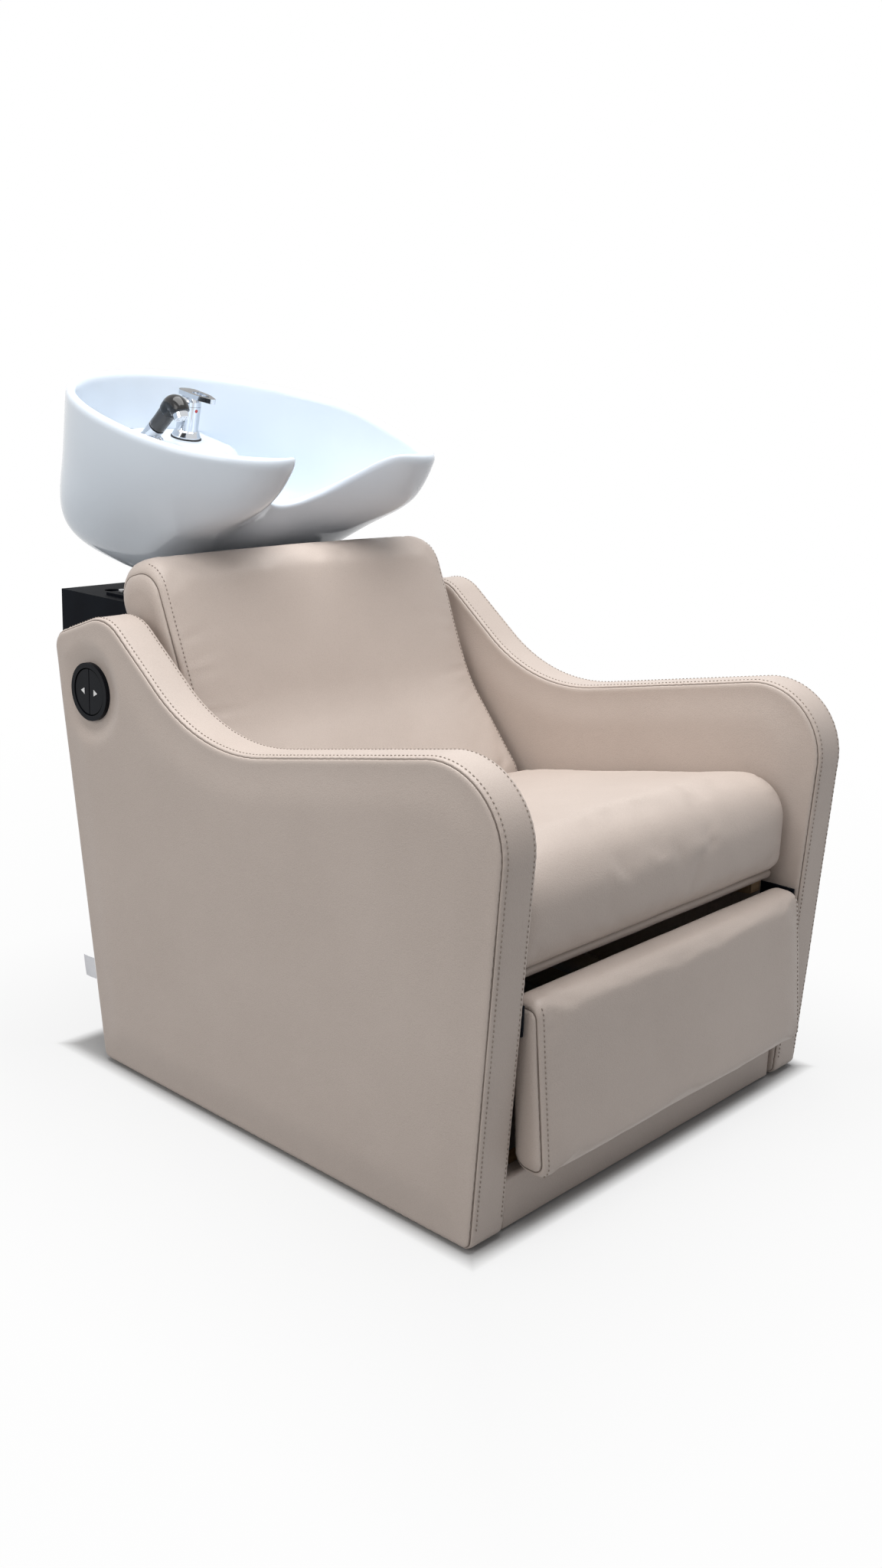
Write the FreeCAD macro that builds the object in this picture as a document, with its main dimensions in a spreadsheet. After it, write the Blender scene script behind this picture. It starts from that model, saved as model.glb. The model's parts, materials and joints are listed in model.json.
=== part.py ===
import FreeCAD, Part
import math
import os
import re
from types import SimpleNamespace

V = FreeCAD.Vector

# Electric shampoo unit: an upholstered chair with a powered footrest and a tilting ceramic basin.
# +Z is up, the chair faces -Y, and the sitter's right hand is at -X.
# Places along Y are given behind the arm panels' front foot, which lies at front_foot.

# Driving sizes in millimetres; values that end in share are plain ratios and in angle are degrees
SIZES = [
    # Chair as a whole
    ("front_foot", -498.4),
    ("overall_width", 700),
    ("glide_height", 3),
    ("glide_radius", 13),
    ("glide_inset", 70),
    ("overrun", 5),
    ("small_radius", 1),
    # Arm panels
    ("arm_thickness", 66),
    ("arm_edge_radius", 9),
    ("arm_front_lean", 25),
    ("arm_front_height", 571),
    ("arm_dip_place", 463),
    ("arm_dip_height", 473),
    ("arm_crest_place", 653),
    ("arm_crest_height", 620),
    ("arm_rear_place", 766),
    ("arm_rear_height", 579),
    ("arm_foot_depth", 672),
    ("arm_front_radius", 95),
    ("arm_dip_radius", 240),
    ("arm_crest_radius", 60),
    ("arm_rear_radius", 25),
    ("arm_foot_radius", 13),
    # Switch in the right arm panel
    ("switch_place", 684),
    ("switch_height", 514),
    ("dip_radius", 47),
    ("dip_depth", 7),
    ("bezel_radius", 38),
    ("bezel_thickness", 6),
    ("housing_radius", 33),
    ("housing_depth", 28),
    ("housing_wall", 3),
    ("button_gap", 1.6),
    ("button_radius", 31),
    ("button_thickness", 7),
    ("button_stand", 2),
    ("button_stem_radius", 4),
    ("button_stem_length", 6),
    ("button_stem_offset", 14),
    ("switch_fit", 0.3),
    # Kick panel and base rails
    ("kick_place", 7),
    ("kick_thickness", 20),
    ("kick_height", 68),
    ("base_rail_thickness", 24),
    ("base_rail_height", 60),
    ("rear_rail_place", 610),
    # Seat
    ("seat_side_gap", 4),
    ("seat_front", 10),
    ("seat_rear", 452),
    ("seat_front_height", 441),
    ("seat_thickness", 137),
    ("seat_slope_share", 0.2),
    ("seat_base_slope_share", 0.1),
    ("seat_front_radius", 55),
    ("seat_lower_radius", 26),
    ("seat_rear_radius", 14),
    ("seat_crown", 12),
    ("seat_draw_in", 9),
    ("soft_clearance", 0.4),
    ("deck_front", 46),
    ("deck_thickness", 15),
    ("seat_rail_width", 24),
    ("seat_rail_height", 20),
    ("apron_front", 28),
    ("apron_thickness", 14),
    ("apron_radius", 7),
    # Back
    ("back_side_gap", 12),
    ("back_foot_place", 457),
    ("back_foot_drop", 72),
    ("back_seat_rise", 48),
    ("back_bend_place", 566),
    ("back_bend_share", 0.5395),
    ("back_top_place", 657),
    ("back_top_height", 688),
    ("back_rear_place", 744),
    ("back_rear_drop", 26),
    ("back_thickness", 92),
    ("back_bend_radius", 220),
    ("back_top_radius", 34),
    ("back_rear_radius", 26),
    ("back_corner_radius", 14),
    ("back_lap_radius", 56),
    ("back_crown", 12),
    ("back_draw_in", 8),
    ("back_rail_depth", 60),
    ("back_rail_gap", 1.6),
    ("back_rail_height", 30),
    ("rear_panel_inset", 8),
    ("rear_panel_thickness", 15),
    ("rear_panel_drop", 4),
    ("post_width", 40),
    ("post_depth", 25),
    ("post_spacing", 250),
    ("post_wall", 2.5),
    ("post_drop", 32),
    # Footrest
    ("pad_side_gap", 6),
    ("pivot_place", 12),
    ("pivot_drop", 42),
    ("pad_drop", 20),
    ("pad_top_front", -19),
    ("pad_bottom", 76),
    ("pad_bottom_front", -43),
    ("pad_thickness", 32),
    ("pad_top_radius", 17),
    ("pad_bottom_radius", 18),
    ("pad_rear_radius", 9),
    ("pad_draw_in", 7),
    ("board_thickness", 12),
    ("board_margin", 22),
    ("tube_radius", 8),
    ("tube_groove", 1.5),
    ("tube_end_gap", 2),
    ("pin_radius", 5),
    ("pin_length", 26),
    ("pin_fit", 0.05),
    ("bracket_thickness", 3),
    ("bracket_length", 50),
    ("bracket_height", 36),
    ("strap_width", 30),
    ("strap_thickness", 3),
    ("strap_spacing", 340),
    ("strap_margin", 36),
    ("crank_radius", 60),
    ("crank_back_angle", 40),
    ("crank_eye_radius", 11),
    ("crank_thickness", 5),
    ("crank_gap", 16),
    ("crank_pin_radius", 5),
    ("crank_clearance", 2.6),
    # Actuator
    ("slot_clearance", 1.5),
    ("slot_wall", 7),
    ("crosshead_thickness", 14),
    ("rod_radius", 9),
    ("rod_length", 150),
    ("rod_fit", 0.06),
    ("sleeve_radius", 16),
    ("sleeve_front", 84),
    ("sleeve_length", 216),
    ("gearbox_length", 54),
    ("gearbox_width", 64),
    ("gearbox_height", 52),
    ("gearbox_offset", 12),
    ("motor_radius", 19),
    ("motor_length", 96),
    ("motor_offset", 26),
    ("clevis_length", 18),
    ("clevis_thickness", 12),
    ("clevis_height", 24),
    ("clevis_pin_radius", 4),
    ("clevis_ear_thickness", 4),
    ("clevis_bracket_length", 30),
    ("actuator_rail_height", 36),
    ("actuator_rail_thickness", 30),
    ("supply_length", 140),
    ("supply_width", 80),
    ("supply_height", 46),
    ("supply_place", 430),
    ("supply_side_gap", 64),
    ("shelf_thickness", 12),
    ("shelf_drop", 154),
    # Support box and tilt bracket
    ("box_half_width", 168),
    ("box_rear", 1008),
    ("box_drop", 220),
    ("box_height", 130),
    ("box_wall", 3),
    ("box_bolt_radius", 4),
    ("box_bolt_head", 7),
    ("box_bolt_rise", 42),
    ("waste_hole_radius", 42),
    ("hose_hole_radius", 12),
    ("hose_hole_side", 116),
    ("hose_hole_place", 952),
    ("hinge_place", 896),
    ("hinge_rise", 24),
    ("ear_spacing", 200),
    ("ear_thickness", 5),
    ("ear_half_length", 26),
    ("ear_top_radius", 13),
    ("foot_plate_thickness", 4),
    ("foot_plate_width", 44),
    ("hinge_bolt_radius", 6),
    ("hinge_head_radius", 10),
    ("hinge_head_thickness", 6),
    ("bracket_bolt_radius", 3),
    ("bracket_bolt_head", 6),
    ("bracket_bolt_offset", 16),
    # Basin
    ("basin_front", 539),
    ("basin_rear", 1036.5),
    ("basin_rise", 124),
    ("rim_slope_share", 0.2),
    ("basin_half_width", 254),
    ("tip_half_width", 128),
    ("basin_depth", 236),
    ("basin_wall", 16),
    ("neck_notch", 104),
    ("neck_drop", 74),
    ("rim_dip", 12),
    ("neck_radius", 80),
    ("neck_start", 32),
    ("neck_reach", 232),
    ("bowl_floor", 18),
    ("ledge_depth", 85),
    ("ledge_front", 900),
    ("ledge_thickness", 18),
    ("yoke_thickness", 4),
    ("yoke_front", 806),
    ("yoke_rear", 930),
    ("yoke_gap", 0.5),
    ("yoke_hole_gap", 4),
    ("tap_well_half_width", 74),
    ("tap_well_rear", 992),
    ("drain_place", 848),
    ("drain_radius", 26),
    ("drain_flange_radius", 38),
    ("drain_flange_thickness", 3),
    ("drain_slot_radius", 4),
    ("drain_slot_circle", 14),
    ("tailpipe_radius", 20),
    ("tailpipe_wall", 2),
    ("tailpipe_drop", 102),
    ("drain_nut_radius", 34),
    ("drain_nut_thickness", 10),
    # Mixer and handset
    ("tap_place", 965),
    ("tap_spacing", 68),
    ("gasket_radius", 23.5),
    ("gasket_thickness", 2),
    ("mixer_foot_radius", 22),
    ("mixer_foot_height", 9),
    ("mixer_radius", 17),
    ("mixer_height", 48),
    ("shank_radius", 12),
    ("shank_length", 62),
    ("shank_hole_fit", 1),
    ("tap_nut_radius", 20),
    ("tap_nut_thickness", 9),
    ("cap_height", 14),
    ("cap_top_radius", 12),
    ("cap_fit", 0.4),
    ("lever_length", 74),
    ("lever_half_width", 15),
    ("lever_thickness", 7),
    ("lever_tail", 20),
    ("loop_length", 34),
    ("loop_half_width", 8),
    ("loop_place", 26),
    ("dot_radius", 2.6),
    ("dot_depth", 1),
    ("holder_foot_radius", 20),
    ("holder_foot_height", 8),
    ("holder_collar_radius", 13),
    ("holder_bore_radius", 10.2),
    ("holder_height", 22),
    ("holder_lean_angle", 38),
    ("spigot_radius", 10),
    ("spigot_length", 14),
    ("handle_radius", 13.5),
    ("handle_length", 62),
    ("elbow_radius", 16),
    ("head_radius", 15),
    ("head_length", 20),
    ("head_tilt_angle", 24),
    ("nozzle_radius", 11.5),
    ("nozzle_length", 9),
    ("jet_radius", 0.9),
    ("jet_circle", 7),
]

# Sizes that follow from the driving ones
FOLLOWING = [
    ("seat_half_width", "overall_width / 2 - arm_thickness - seat_side_gap"),
    ("back_half_width", "overall_width / 2 - arm_thickness - back_side_gap"),
    ("footrest_half_width", "overall_width / 2 - arm_thickness - pad_side_gap"),
    ("supply_side", "overall_width / 2 - arm_thickness - supply_length / 2 - supply_side_gap"),
    ("seat_base_height", "seat_front_height - seat_thickness"),
    ("back_foot_height", "seat_base_height - back_foot_drop"),
    ("back_seat_height", "seat_base_height + back_seat_rise"),
    ("back_bend_height", "back_foot_height + (back_top_height - back_foot_height) * back_bend_share"),
    ("back_rear_height", "back_top_height - back_rear_drop"),
    ("pivot_height", "seat_base_height - pivot_drop"),
    ("pad_top", "seat_base_height - pad_drop"),
    ("strap_length", "pivot_height - pad_bottom - strap_margin"),
    ("shelf_height", "seat_base_height - shelf_drop"),
    ("basin_tip_height", "back_top_height + basin_rise"),
    ("neck_height", "basin_tip_height - neck_drop"),
    ("box_top", "basin_tip_height - box_drop"),
    ("hinge_height", "box_top + hinge_rise"),
    ("post_height", "box_top - post_drop"),
    ("rear_panel_height", "post_height - rear_panel_drop"),
    ("tailpipe_end", "box_top - tailpipe_drop"),
]

doc = FreeCAD.newDocument("shampoo_unit")
sheet = doc.addObject("Spreadsheet::Sheet", "Sizes")
CELLS = [(alias, str(number)) for alias, number in SIZES] + [(alias, "=" + text) for alias, text in FOLLOWING]
for row, (alias, content) in enumerate(CELLS, start=1):
    sheet.set("A%d" % row, alias)
    sheet.set("B%d" % row, content)
    sheet.setAlias("B%d" % row, alias)
doc.recompute()

S = SimpleNamespace(**{alias: float(sheet.get(alias)) for alias, content in CELLS})
WORDS = {alias for alias, content in CELLS}
NODES = []

ARM_INNER = S.overall_width / 2 - S.arm_thickness
# A round end stops just short of a full half circle
ROUND_SHARE = 0.98
# A face this square to X is an end face
SQUARE_SHARE = 0.99
REAR_LEAN = (S.arm_rear_place - S.arm_foot_depth) / (S.arm_rear_height - S.glide_height)


# Helpers for bound primitives

def linked(text):
    """Expression text whose size names point at the sheet."""
    return re.sub(r"[a-z][a-z_]*", lambda m: "Sizes." * (m.group(0) in WORDS) + m.group(0), text)


def bind(item, **sizes):
    for prop, text in sizes.items():
        item.setExpression(prop.replace("__", "."), linked(text))


def place(item, where):
    for axis, text in zip("xyz", where):
        item.setExpression("Placement.Base." + axis, linked(text))


def keep(item, label):
    item.Label = label
    NODES.append(item)
    return item


def box(name, size, where):
    item = doc.addObject("Part::Box", name)
    bind(item, Length=size[0], Width=size[1], Height=size[2])
    place(item, where)
    return item


TURNS = {
    "X": FreeCAD.Rotation(V(0, 1, 0), 90),
    "Y": FreeCAD.Rotation(V(1, 0, 0), -90),
    "Z": FreeCAD.Rotation(),
}


def rod(name, radius, height, where, axis="Z"):
    item = doc.addObject("Part::Cylinder", name)
    item.Placement = FreeCAD.Placement(V(), TURNS[axis])
    bind(item, Radius=radius, Height=height)
    place(item, where)
    return item


def cone(name, low, high, height, where):
    item = doc.addObject("Part::Cone", name)
    bind(item, Radius1=low, Radius2=high, Height=height)
    place(item, where)
    return item


def cut(name, base, *tools):
    for number, tool in enumerate(tools):
        step = doc.addObject("Part::Cut", "%s_cut%d" % (name, number))
        step.Base = base
        step.Tool = tool
        base = step
    return base


def fuse(name, *items):
    joined = doc.addObject("Part::MultiFuse", name + "_fuse")
    joined.Shapes = list(items)
    joined.Refine = True
    return joined


def group(name, *items):
    bundle = doc.addObject("Part::Compound", name + "_group")
    bundle.Links = list(items)
    return bundle


def common(name, base, tool):
    shared = doc.addObject("Part::Common", name + "_common")
    shared.Base = base
    shared.Tool = tool
    return shared


# Helpers for outlines in the side view, as (place behind the front foot, height)

def rounded(points, radii):
    """Lines and arcs round a polygon, each corner with its own radius."""
    count = len(points)
    corners = []
    for i in range(count):
        before, here, after = points[i - 1], points[i], points[(i + 1) % count]
        back = (before - here).normalize()
        ahead = (after - here).normalize()
        half = back.getAngle(ahead) / 2
        reach = radii[i] / math.tan(half)
        middle = (back + ahead).normalize() * (radii[i] / math.sin(half))
        centre = here + middle
        top = centre - V(middle).normalize() * radii[i]
        corners.append((here + back * reach, top, here + ahead * reach))
    edges = []
    for i in range(count):
        start, top, end = corners[i]
        edges.append(Part.Arc(start, top, end))
        edges.append(Part.LineSegment(end, corners[(i + 1) % count][0]))
    return edges


def side_body(name, points, radii, low, high):
    """Side outline in Y and Z, padded along X from low to high (expressions)."""
    body = doc.addObject("PartDesign::Body", name)
    plane = next(item for item in body.Origin.OriginFeatures if item.Role == "YZ_Plane")
    sketch = body.newObject("Sketcher::SketchObject", name + "_sketch")
    sketch.AttachmentSupport = (plane, "")
    sketch.MapMode = "FlatFace"
    for edge in rounded([V(S.front_foot + y, z, 0) for y, z in points], radii):
        sketch.addGeometry(edge, False)
    pad = body.newObject("PartDesign::Pad", name + "_pad")
    pad.Profile = sketch
    bind(pad, Length="(%s) - (%s)" % (high, low))
    body.setExpression("Placement.Base.x", linked(low))
    doc.recompute()
    return body


def side_wire(points, radii, x):
    edges = rounded([V(p.x, p.y, 0) for p in points], radii)
    wire = Part.Wire([edge.toShape() for edge in edges])
    upright_turn = FreeCAD.Rotation(V(0, 1, 0), V(0, 0, 1), V(1, 0, 0), "ZXY")
    frame = FreeCAD.Placement(V(x, S.front_foot, 0), upright_turn)
    wire.Placement = frame
    return wire


def feature(name, shape):
    item = doc.addObject("Part::Feature", name)
    item.Shape = shape
    return item


def cushion(name, half_width, outline, crown, radii, seam_radius):
    """Soft solid that swells by the crown at the middle, with its side seams rounded in."""
    stations = ((-half_width, 0), (0, crown), (half_width, 0))
    wires = [side_wire(outline(swell), radii, x) for x, swell in stations]
    block = Part.makeLoft(wires, True, False)
    ends = [face for face in block.Faces if abs(face.CenterOfMass.x) > half_width - seam_radius]
    return feature(name, block.makeFillet(seam_radius, [edge for face in ends for edge in face.Edges]))


# Arm panels: one outline, rounded along both seams

ARM_POINTS = [
    (0, S.glide_height),
    (-S.arm_front_lean, S.arm_front_height),
    (S.arm_dip_place, S.arm_dip_height),
    (S.arm_crest_place, S.arm_crest_height),
    (S.arm_rear_place, S.arm_rear_height),
    (S.arm_foot_depth, S.glide_height),
]
ARM_RADII = [S.arm_foot_radius, S.arm_front_radius, S.arm_dip_radius,
             S.arm_crest_radius, S.arm_rear_radius, S.arm_foot_radius]


def arm_panel(name, low, high):
    body = side_body(name, ARM_POINTS, ARM_RADII, low, high)
    flats = [i for i, face in enumerate(body.Shape.Faces, start=1)
             if abs(face.normalAt(0, 0).x) > SQUARE_SHARE]
    slab = body.Tip
    seams = body.newObject("PartDesign::Fillet", name + "_seams")
    seams.Base = (slab, ["Face%d" % i for i in flats])
    bind(seams, Radius="arm_edge_radius")
    doc.recompute()
    return body


left_panel = arm_panel("left_panel", "overall_width / 2 - arm_thickness", "overall_width / 2")
right_panel = arm_panel("right_panel", "-overall_width / 2", "arm_thickness - overall_width / 2")
keep(left_panel, "left_arm_panel")

SWITCH_AT = ("front_foot + switch_place", "switch_height")
dip = cone("switch_dip", "dip_radius", "bezel_radius + switch_fit", "dip_depth",
           ("-overall_width / 2", *SWITCH_AT))
dip.Placement.Rotation = TURNS["X"]
well = rod("switch_well", "housing_radius + switch_fit", "housing_depth + overrun + dip_depth",
           ("-overall_width / 2 - overrun", *SWITCH_AT), "X")
seat_ring = rod("switch_seat", "bezel_radius + switch_fit", "dip_depth + overrun",
                ("-overall_width / 2 - overrun", *SWITCH_AT), "X")
keep(cut("right_arm", right_panel, dip, well, seat_ring), "right_arm_panel")

# Switch: housing in the well, bezel ring, two half-round buttons

FACE = "-overall_width / 2 + dip_depth"
housing_cup = rod("housing_cup", "housing_radius", "housing_depth", (FACE, *SWITCH_AT), "X")
housing_hollow = rod("housing_hollow", "housing_radius - housing_wall",
                     "housing_depth - housing_wall + overrun",
                     (FACE + " - overrun", *SWITCH_AT), "X")
STEM_DEPTH = "button_thickness - button_stand + button_stem_length"
floor_disc = rod("switch_floor", "housing_radius - housing_wall", "housing_wall",
                 (FACE + " + " + STEM_DEPTH + " + button_stand", *SWITCH_AT), "X")
keep(fuse("switch_housing", cut("housing", housing_cup, housing_hollow), floor_disc), "switch_housing")

bezel_disc = rod("bezel_disc", "bezel_radius", "bezel_thickness",
                 (FACE + " - bezel_thickness", *SWITCH_AT), "X")
bezel_hole = rod("bezel_hole", "button_radius + switch_fit", "bezel_thickness + overrun + overrun",
                 (FACE + " - bezel_thickness - overrun", *SWITCH_AT), "X")
keep(cut("bezel", bezel_disc, bezel_hole), "switch_bezel")

for label, side in (("button_raise", "+"), ("button_lower", "-")):
    disc = rod(label + "_disc", "button_radius - button_gap + switch_fit", "button_thickness",
               (FACE + " - button_thickness + button_stand", *SWITCH_AT), "X")
    start = "button_gap / 2" if side == "+" else "-button_gap / 2 - button_radius"
    half = box(label + "_half", ("button_thickness", "button_radius", "button_radius * 2"),
               (FACE + " - button_thickness + button_stand",
                "front_foot + switch_place + " + start, "switch_height - button_radius"))
    stem = rod(label + "_stem", "button_stem_radius", "button_stem_length - button_stand",
               (FACE + " + button_stand",
                "front_foot + switch_place %s button_stem_offset" % side, "switch_height"), "X")
    keep(fuse(label, common(label, disc, half), stem), label)

# Base: kick panel, rails and floor glides

INNER = "overall_width / 2 - arm_thickness"
SPAN = "overall_width - 2 * arm_thickness"
keep(box("kick", (SPAN, "kick_thickness", "kick_height - glide_height"),
         ("-(%s)" % INNER, "front_foot + kick_place", "glide_height")), "kick_panel")
keep(box("front_rail", (SPAN, "base_rail_thickness", "base_rail_height"),
         ("-(%s)" % INNER, "front_foot + kick_place + kick_thickness", "glide_height")), "front_base_rail")
keep(box("rear_rail", (SPAN, "base_rail_thickness", "base_rail_height"),
         ("-(%s)" % INNER, "front_foot + rear_rail_place", "glide_height")), "rear_base_rail")

glides = []
for side in ("-", ""):
    for depth in ("glide_inset", "arm_foot_depth - glide_inset"):
        glides.append(rod("glide", "glide_radius", "glide_height",
                          ("%s(overall_width / 2 - arm_thickness / 2)" % side, "front_foot + " + depth, "0")))
keep(group("glides", *glides), "floor_glides")

# Seat: rails on the arm panels, deck, padded lip and crowned cushion


def seat_base(y):
    return S.seat_base_height - (y - S.seat_front) * S.seat_base_slope_share


def layer(low_y, high_y, upper, lower):
    """Four corners of a layer under the seat, at two distances below the cushion."""
    return [(low_y, seat_base(low_y) - upper), (high_y, seat_base(high_y) - upper),
            (high_y, seat_base(high_y) - lower), (low_y, seat_base(low_y) - lower)]


SMALL_RADII = [S.small_radius] * 4
rail_top = S.deck_thickness + S.soft_clearance
deck_points = layer(S.deck_front, S.seat_rear, S.soft_clearance, rail_top)
keep(side_body("deck", deck_points, SMALL_RADII, "-(%s)" % INNER, INNER), "seat_deck")
rail_points = layer(S.deck_front, S.seat_rear, rail_top, rail_top + S.seat_rail_height)
keep(side_body("rail_right", rail_points, SMALL_RADII, "-(%s)" % INNER,
               "-(%s) + seat_rail_width" % INNER), "seat_rail_right")
keep(side_body("rail_left", rail_points, SMALL_RADII, INNER + " - seat_rail_width", INNER), "seat_rail_left")

apron_points = layer(S.apron_front, S.deck_front, S.soft_clearance, S.apron_thickness + S.soft_clearance)
keep(side_body("apron", apron_points, [S.apron_radius] * 2 + SMALL_RADII[:2],
               "-seat_half_width", "seat_half_width"), "seat_apron")


def seat_top(y):
    return S.seat_front_height - (y - S.seat_front) * S.seat_slope_share


def seat_outline(crown):
    return [V(S.seat_front, seat_base(S.seat_front), 0), V(S.seat_front, seat_top(S.seat_front) + crown, 0),
            V(S.seat_rear, seat_top(S.seat_rear) + crown, 0), V(S.seat_rear, seat_base(S.seat_rear), 0)]


SEAT_RADII = [S.seat_lower_radius, S.seat_front_radius, S.seat_rear_radius, S.seat_rear_radius]
keep(cushion("seat", S.seat_half_width, seat_outline, S.seat_crown, SEAT_RADII, S.seat_draw_in),
     "seat_cushion")

# Back: crowned cushion on a lower rail, rear panel and two hidden posts

BACK_RADII = [S.back_corner_radius, S.back_lap_radius, S.back_bend_radius, S.back_top_radius,
              S.back_rear_radius, S.back_bend_radius, S.back_corner_radius]


def back_outline(crown):
    lean = (S.back_top_place - S.back_bend_place) / (S.back_top_height - S.back_bend_height)
    return [V(S.back_foot_place, S.back_foot_height, 0),
            V(S.back_foot_place, S.back_seat_height, 0),
            V(S.back_bend_place - crown, S.back_bend_height, 0),
            V(S.back_top_place - crown, S.back_top_height + crown * lean, 0),
            V(S.back_rear_place, S.back_rear_height + crown * lean, 0),
            V(S.back_bend_place + S.back_thickness, S.back_bend_height, 0),
            V(S.back_foot_place + S.back_thickness, S.back_foot_height, 0)]


keep(cushion("back", S.back_half_width, back_outline, S.back_crown, BACK_RADII, S.back_draw_in),
     "back_cushion")

keep(box("back_rail", (SPAN, "back_rail_depth", "back_rail_height"),
         ("-(%s)" % INNER, "front_foot + back_foot_place + back_rail_gap",
          "back_foot_height - back_rail_height - soft_clearance")), "back_rail")


def rear_line(z, inset):
    return S.arm_foot_depth + REAR_LEAN * (z - S.glide_height) - inset


def leaning(low_z, high_z, inset, thickness):
    return [(rear_line(low_z, inset), low_z), (rear_line(high_z, inset), high_z),
            (rear_line(high_z, inset + thickness), high_z), (rear_line(low_z, inset + thickness), low_z)]


def box_front(z):
    return rear_line(z, S.rear_panel_inset)


# Bolts through the support box, the rear panel and the posts
BOX_LOW = S.box_top - S.box_height
OUTWARD = V(0, 1, -REAR_LEAN).normalize()
BOLT_TURN = FreeCAD.Rotation(V(0, 0, 1), OUTWARD)
BOLT_REACH = S.box_wall + S.rear_panel_thickness + S.post_wall
bolts = []
bolt_holes = []
for x in (-S.post_spacing / 2, S.post_spacing / 2):
    for height in (BOX_LOW + S.box_bolt_rise, S.post_height - S.box_bolt_rise):
        bolt_seat = V(x, S.front_foot + box_front(height), height) + OUTWARD * S.box_wall
        head = doc.addObject("Part::Cylinder", "bolt_head")
        bind(head, Radius="box_bolt_head", Height="box_bolt_radius")
        head.Placement = FreeCAD.Placement(bolt_seat, BOLT_TURN)
        stem = doc.addObject("Part::Cylinder", "bolt_stem")
        bind(stem, Radius="box_bolt_radius", Height="box_wall + rear_panel_thickness + post_wall")
        stem.Placement = FreeCAD.Placement(bolt_seat - OUTWARD * BOLT_REACH, BOLT_TURN)
        bolts.append(fuse("bolt", head, stem))
        bolt_holes.append(stem)
keep(group("box_bolts", *bolts), "box_bolts")

rear_points = leaning(S.glide_height, S.rear_panel_height, S.rear_panel_inset, S.rear_panel_thickness)
rear_board = side_body("rear_board", rear_points, SMALL_RADII, "-(%s)" % INNER, INNER)
keep(cut("rear_panel", rear_board, *bolt_holes), "rear_panel")

POST_INSET = S.rear_panel_inset + S.rear_panel_thickness
POST_FOOT = S.glide_height + S.base_rail_height
post_points = leaning(POST_FOOT, S.post_height, POST_INSET, S.post_depth)
bore_points = leaning(POST_FOOT - S.overrun, S.post_height + S.overrun,
                      POST_INSET + S.post_wall, S.post_depth - 2 * S.post_wall)
for side, middle in (("right", "-post_spacing / 2"), ("left", "post_spacing / 2")):
    tube = side_body("post_" + side, post_points, SMALL_RADII,
                     middle + " - post_width / 2", middle + " + post_width / 2")
    bore = side_body("post_bore_" + side, bore_points, SMALL_RADII,
                     middle + " - post_width / 2 + post_wall", middle + " + post_width / 2 - post_wall")
    keep(cut("post_%s" % side, tube, bore, *bolt_holes), "rear_post_" + side)

# Footrest: pad and board hang from a tube that turns on two pins

PAD_LEAN = (S.pad_top_front - S.pad_bottom_front) / (S.pad_top - S.pad_bottom)


def pad_front(z):
    return S.pad_bottom_front + (z - S.pad_bottom) * PAD_LEAN


def footrest_layer(front, rear, low_z, high_z):
    return [(pad_front(low_z) + front, low_z), (pad_front(high_z) + front, high_z),
            (pad_front(high_z) + rear, high_z), (pad_front(low_z) + rear, low_z)]


PAD_RADII = [S.pad_bottom_radius, S.pad_top_radius, S.pad_rear_radius, S.pad_rear_radius]


def pad_outline(crown):
    return [V(y - crown, z, 0) for y, z in footrest_layer(0, S.pad_thickness, S.pad_bottom, S.pad_top)]


pad = cushion("pad", S.footrest_half_width, pad_outline, 0, PAD_RADII, S.pad_draw_in)
PIVOT_AT = ("front_foot + pivot_place", "pivot_height")
groove = rod("pad_groove", "tube_radius + tube_groove", "footrest_half_width * 2 + overrun * 2",
             ("-footrest_half_width - overrun", *PIVOT_AT), "X")
notch_half = "(crank_gap / 2 + crank_thickness + crank_clearance)"
notch = rod("crank_notch", "crank_eye_radius + crank_clearance", notch_half + " * 2",
            ("-" + notch_half, *PIVOT_AT), "X")
keep(cut("pad", pad, groove, notch), "footrest_pad")

board_top = S.pivot_height - S.tube_radius - S.tube_groove
board_points = footrest_layer(S.pad_thickness, S.pad_thickness + S.board_thickness,
                              S.pad_bottom + S.board_margin, board_top)
board = side_body("board", board_points, SMALL_RADII, "-footrest_half_width + board_margin",
                  "footrest_half_width - board_margin")
board_notch = box("board_notch", (notch_half + " * 2", "overall_width", "crank_radius"),
                  ("-" + notch_half, "front_foot - overall_width / 2",
                   "pivot_height - crank_radius * cos(crank_back_angle)"))
keep(cut("board", board, board_notch), "footrest_board")

tube_bar = rod("tube_bar", "tube_radius", "footrest_half_width * 2 - tube_end_gap * 2",
               ("-footrest_half_width + tube_end_gap", *PIVOT_AT), "X")
tube_bores = [rod("tube_bore", "pin_radius + pin_fit", "pin_length + overrun",
                  (start, *PIVOT_AT), "X")
              for start in ("-footrest_half_width + tube_end_gap - overrun",
                            "footrest_half_width - tube_end_gap - pin_length")]
keep(cut("tube", tube_bar, *tube_bores), "footrest_tube")

# Straps fold round the back of the board and are welded under the tube
strap_front = S.pad_thickness + S.board_thickness
strap_points = footrest_layer(strap_front, strap_front + S.strap_thickness,
                              S.pivot_height - S.strap_length, S.pivot_height)
weld_clear = rod("weld_clear", "tube_radius", "footrest_half_width * 2",
                 ("-footrest_half_width", *PIVOT_AT), "X")
straps = []
for side, middle in (("right", "-strap_spacing / 2"), ("left", "strap_spacing / 2")):
    strap = side_body("strap_body" + side, strap_points, SMALL_RADII,
                      middle + " - strap_width / 2", middle + " + strap_width / 2")
    straps.append(cut("strap" + side, strap, weld_clear))
keep(group("straps", *straps), "footrest_straps")

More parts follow.
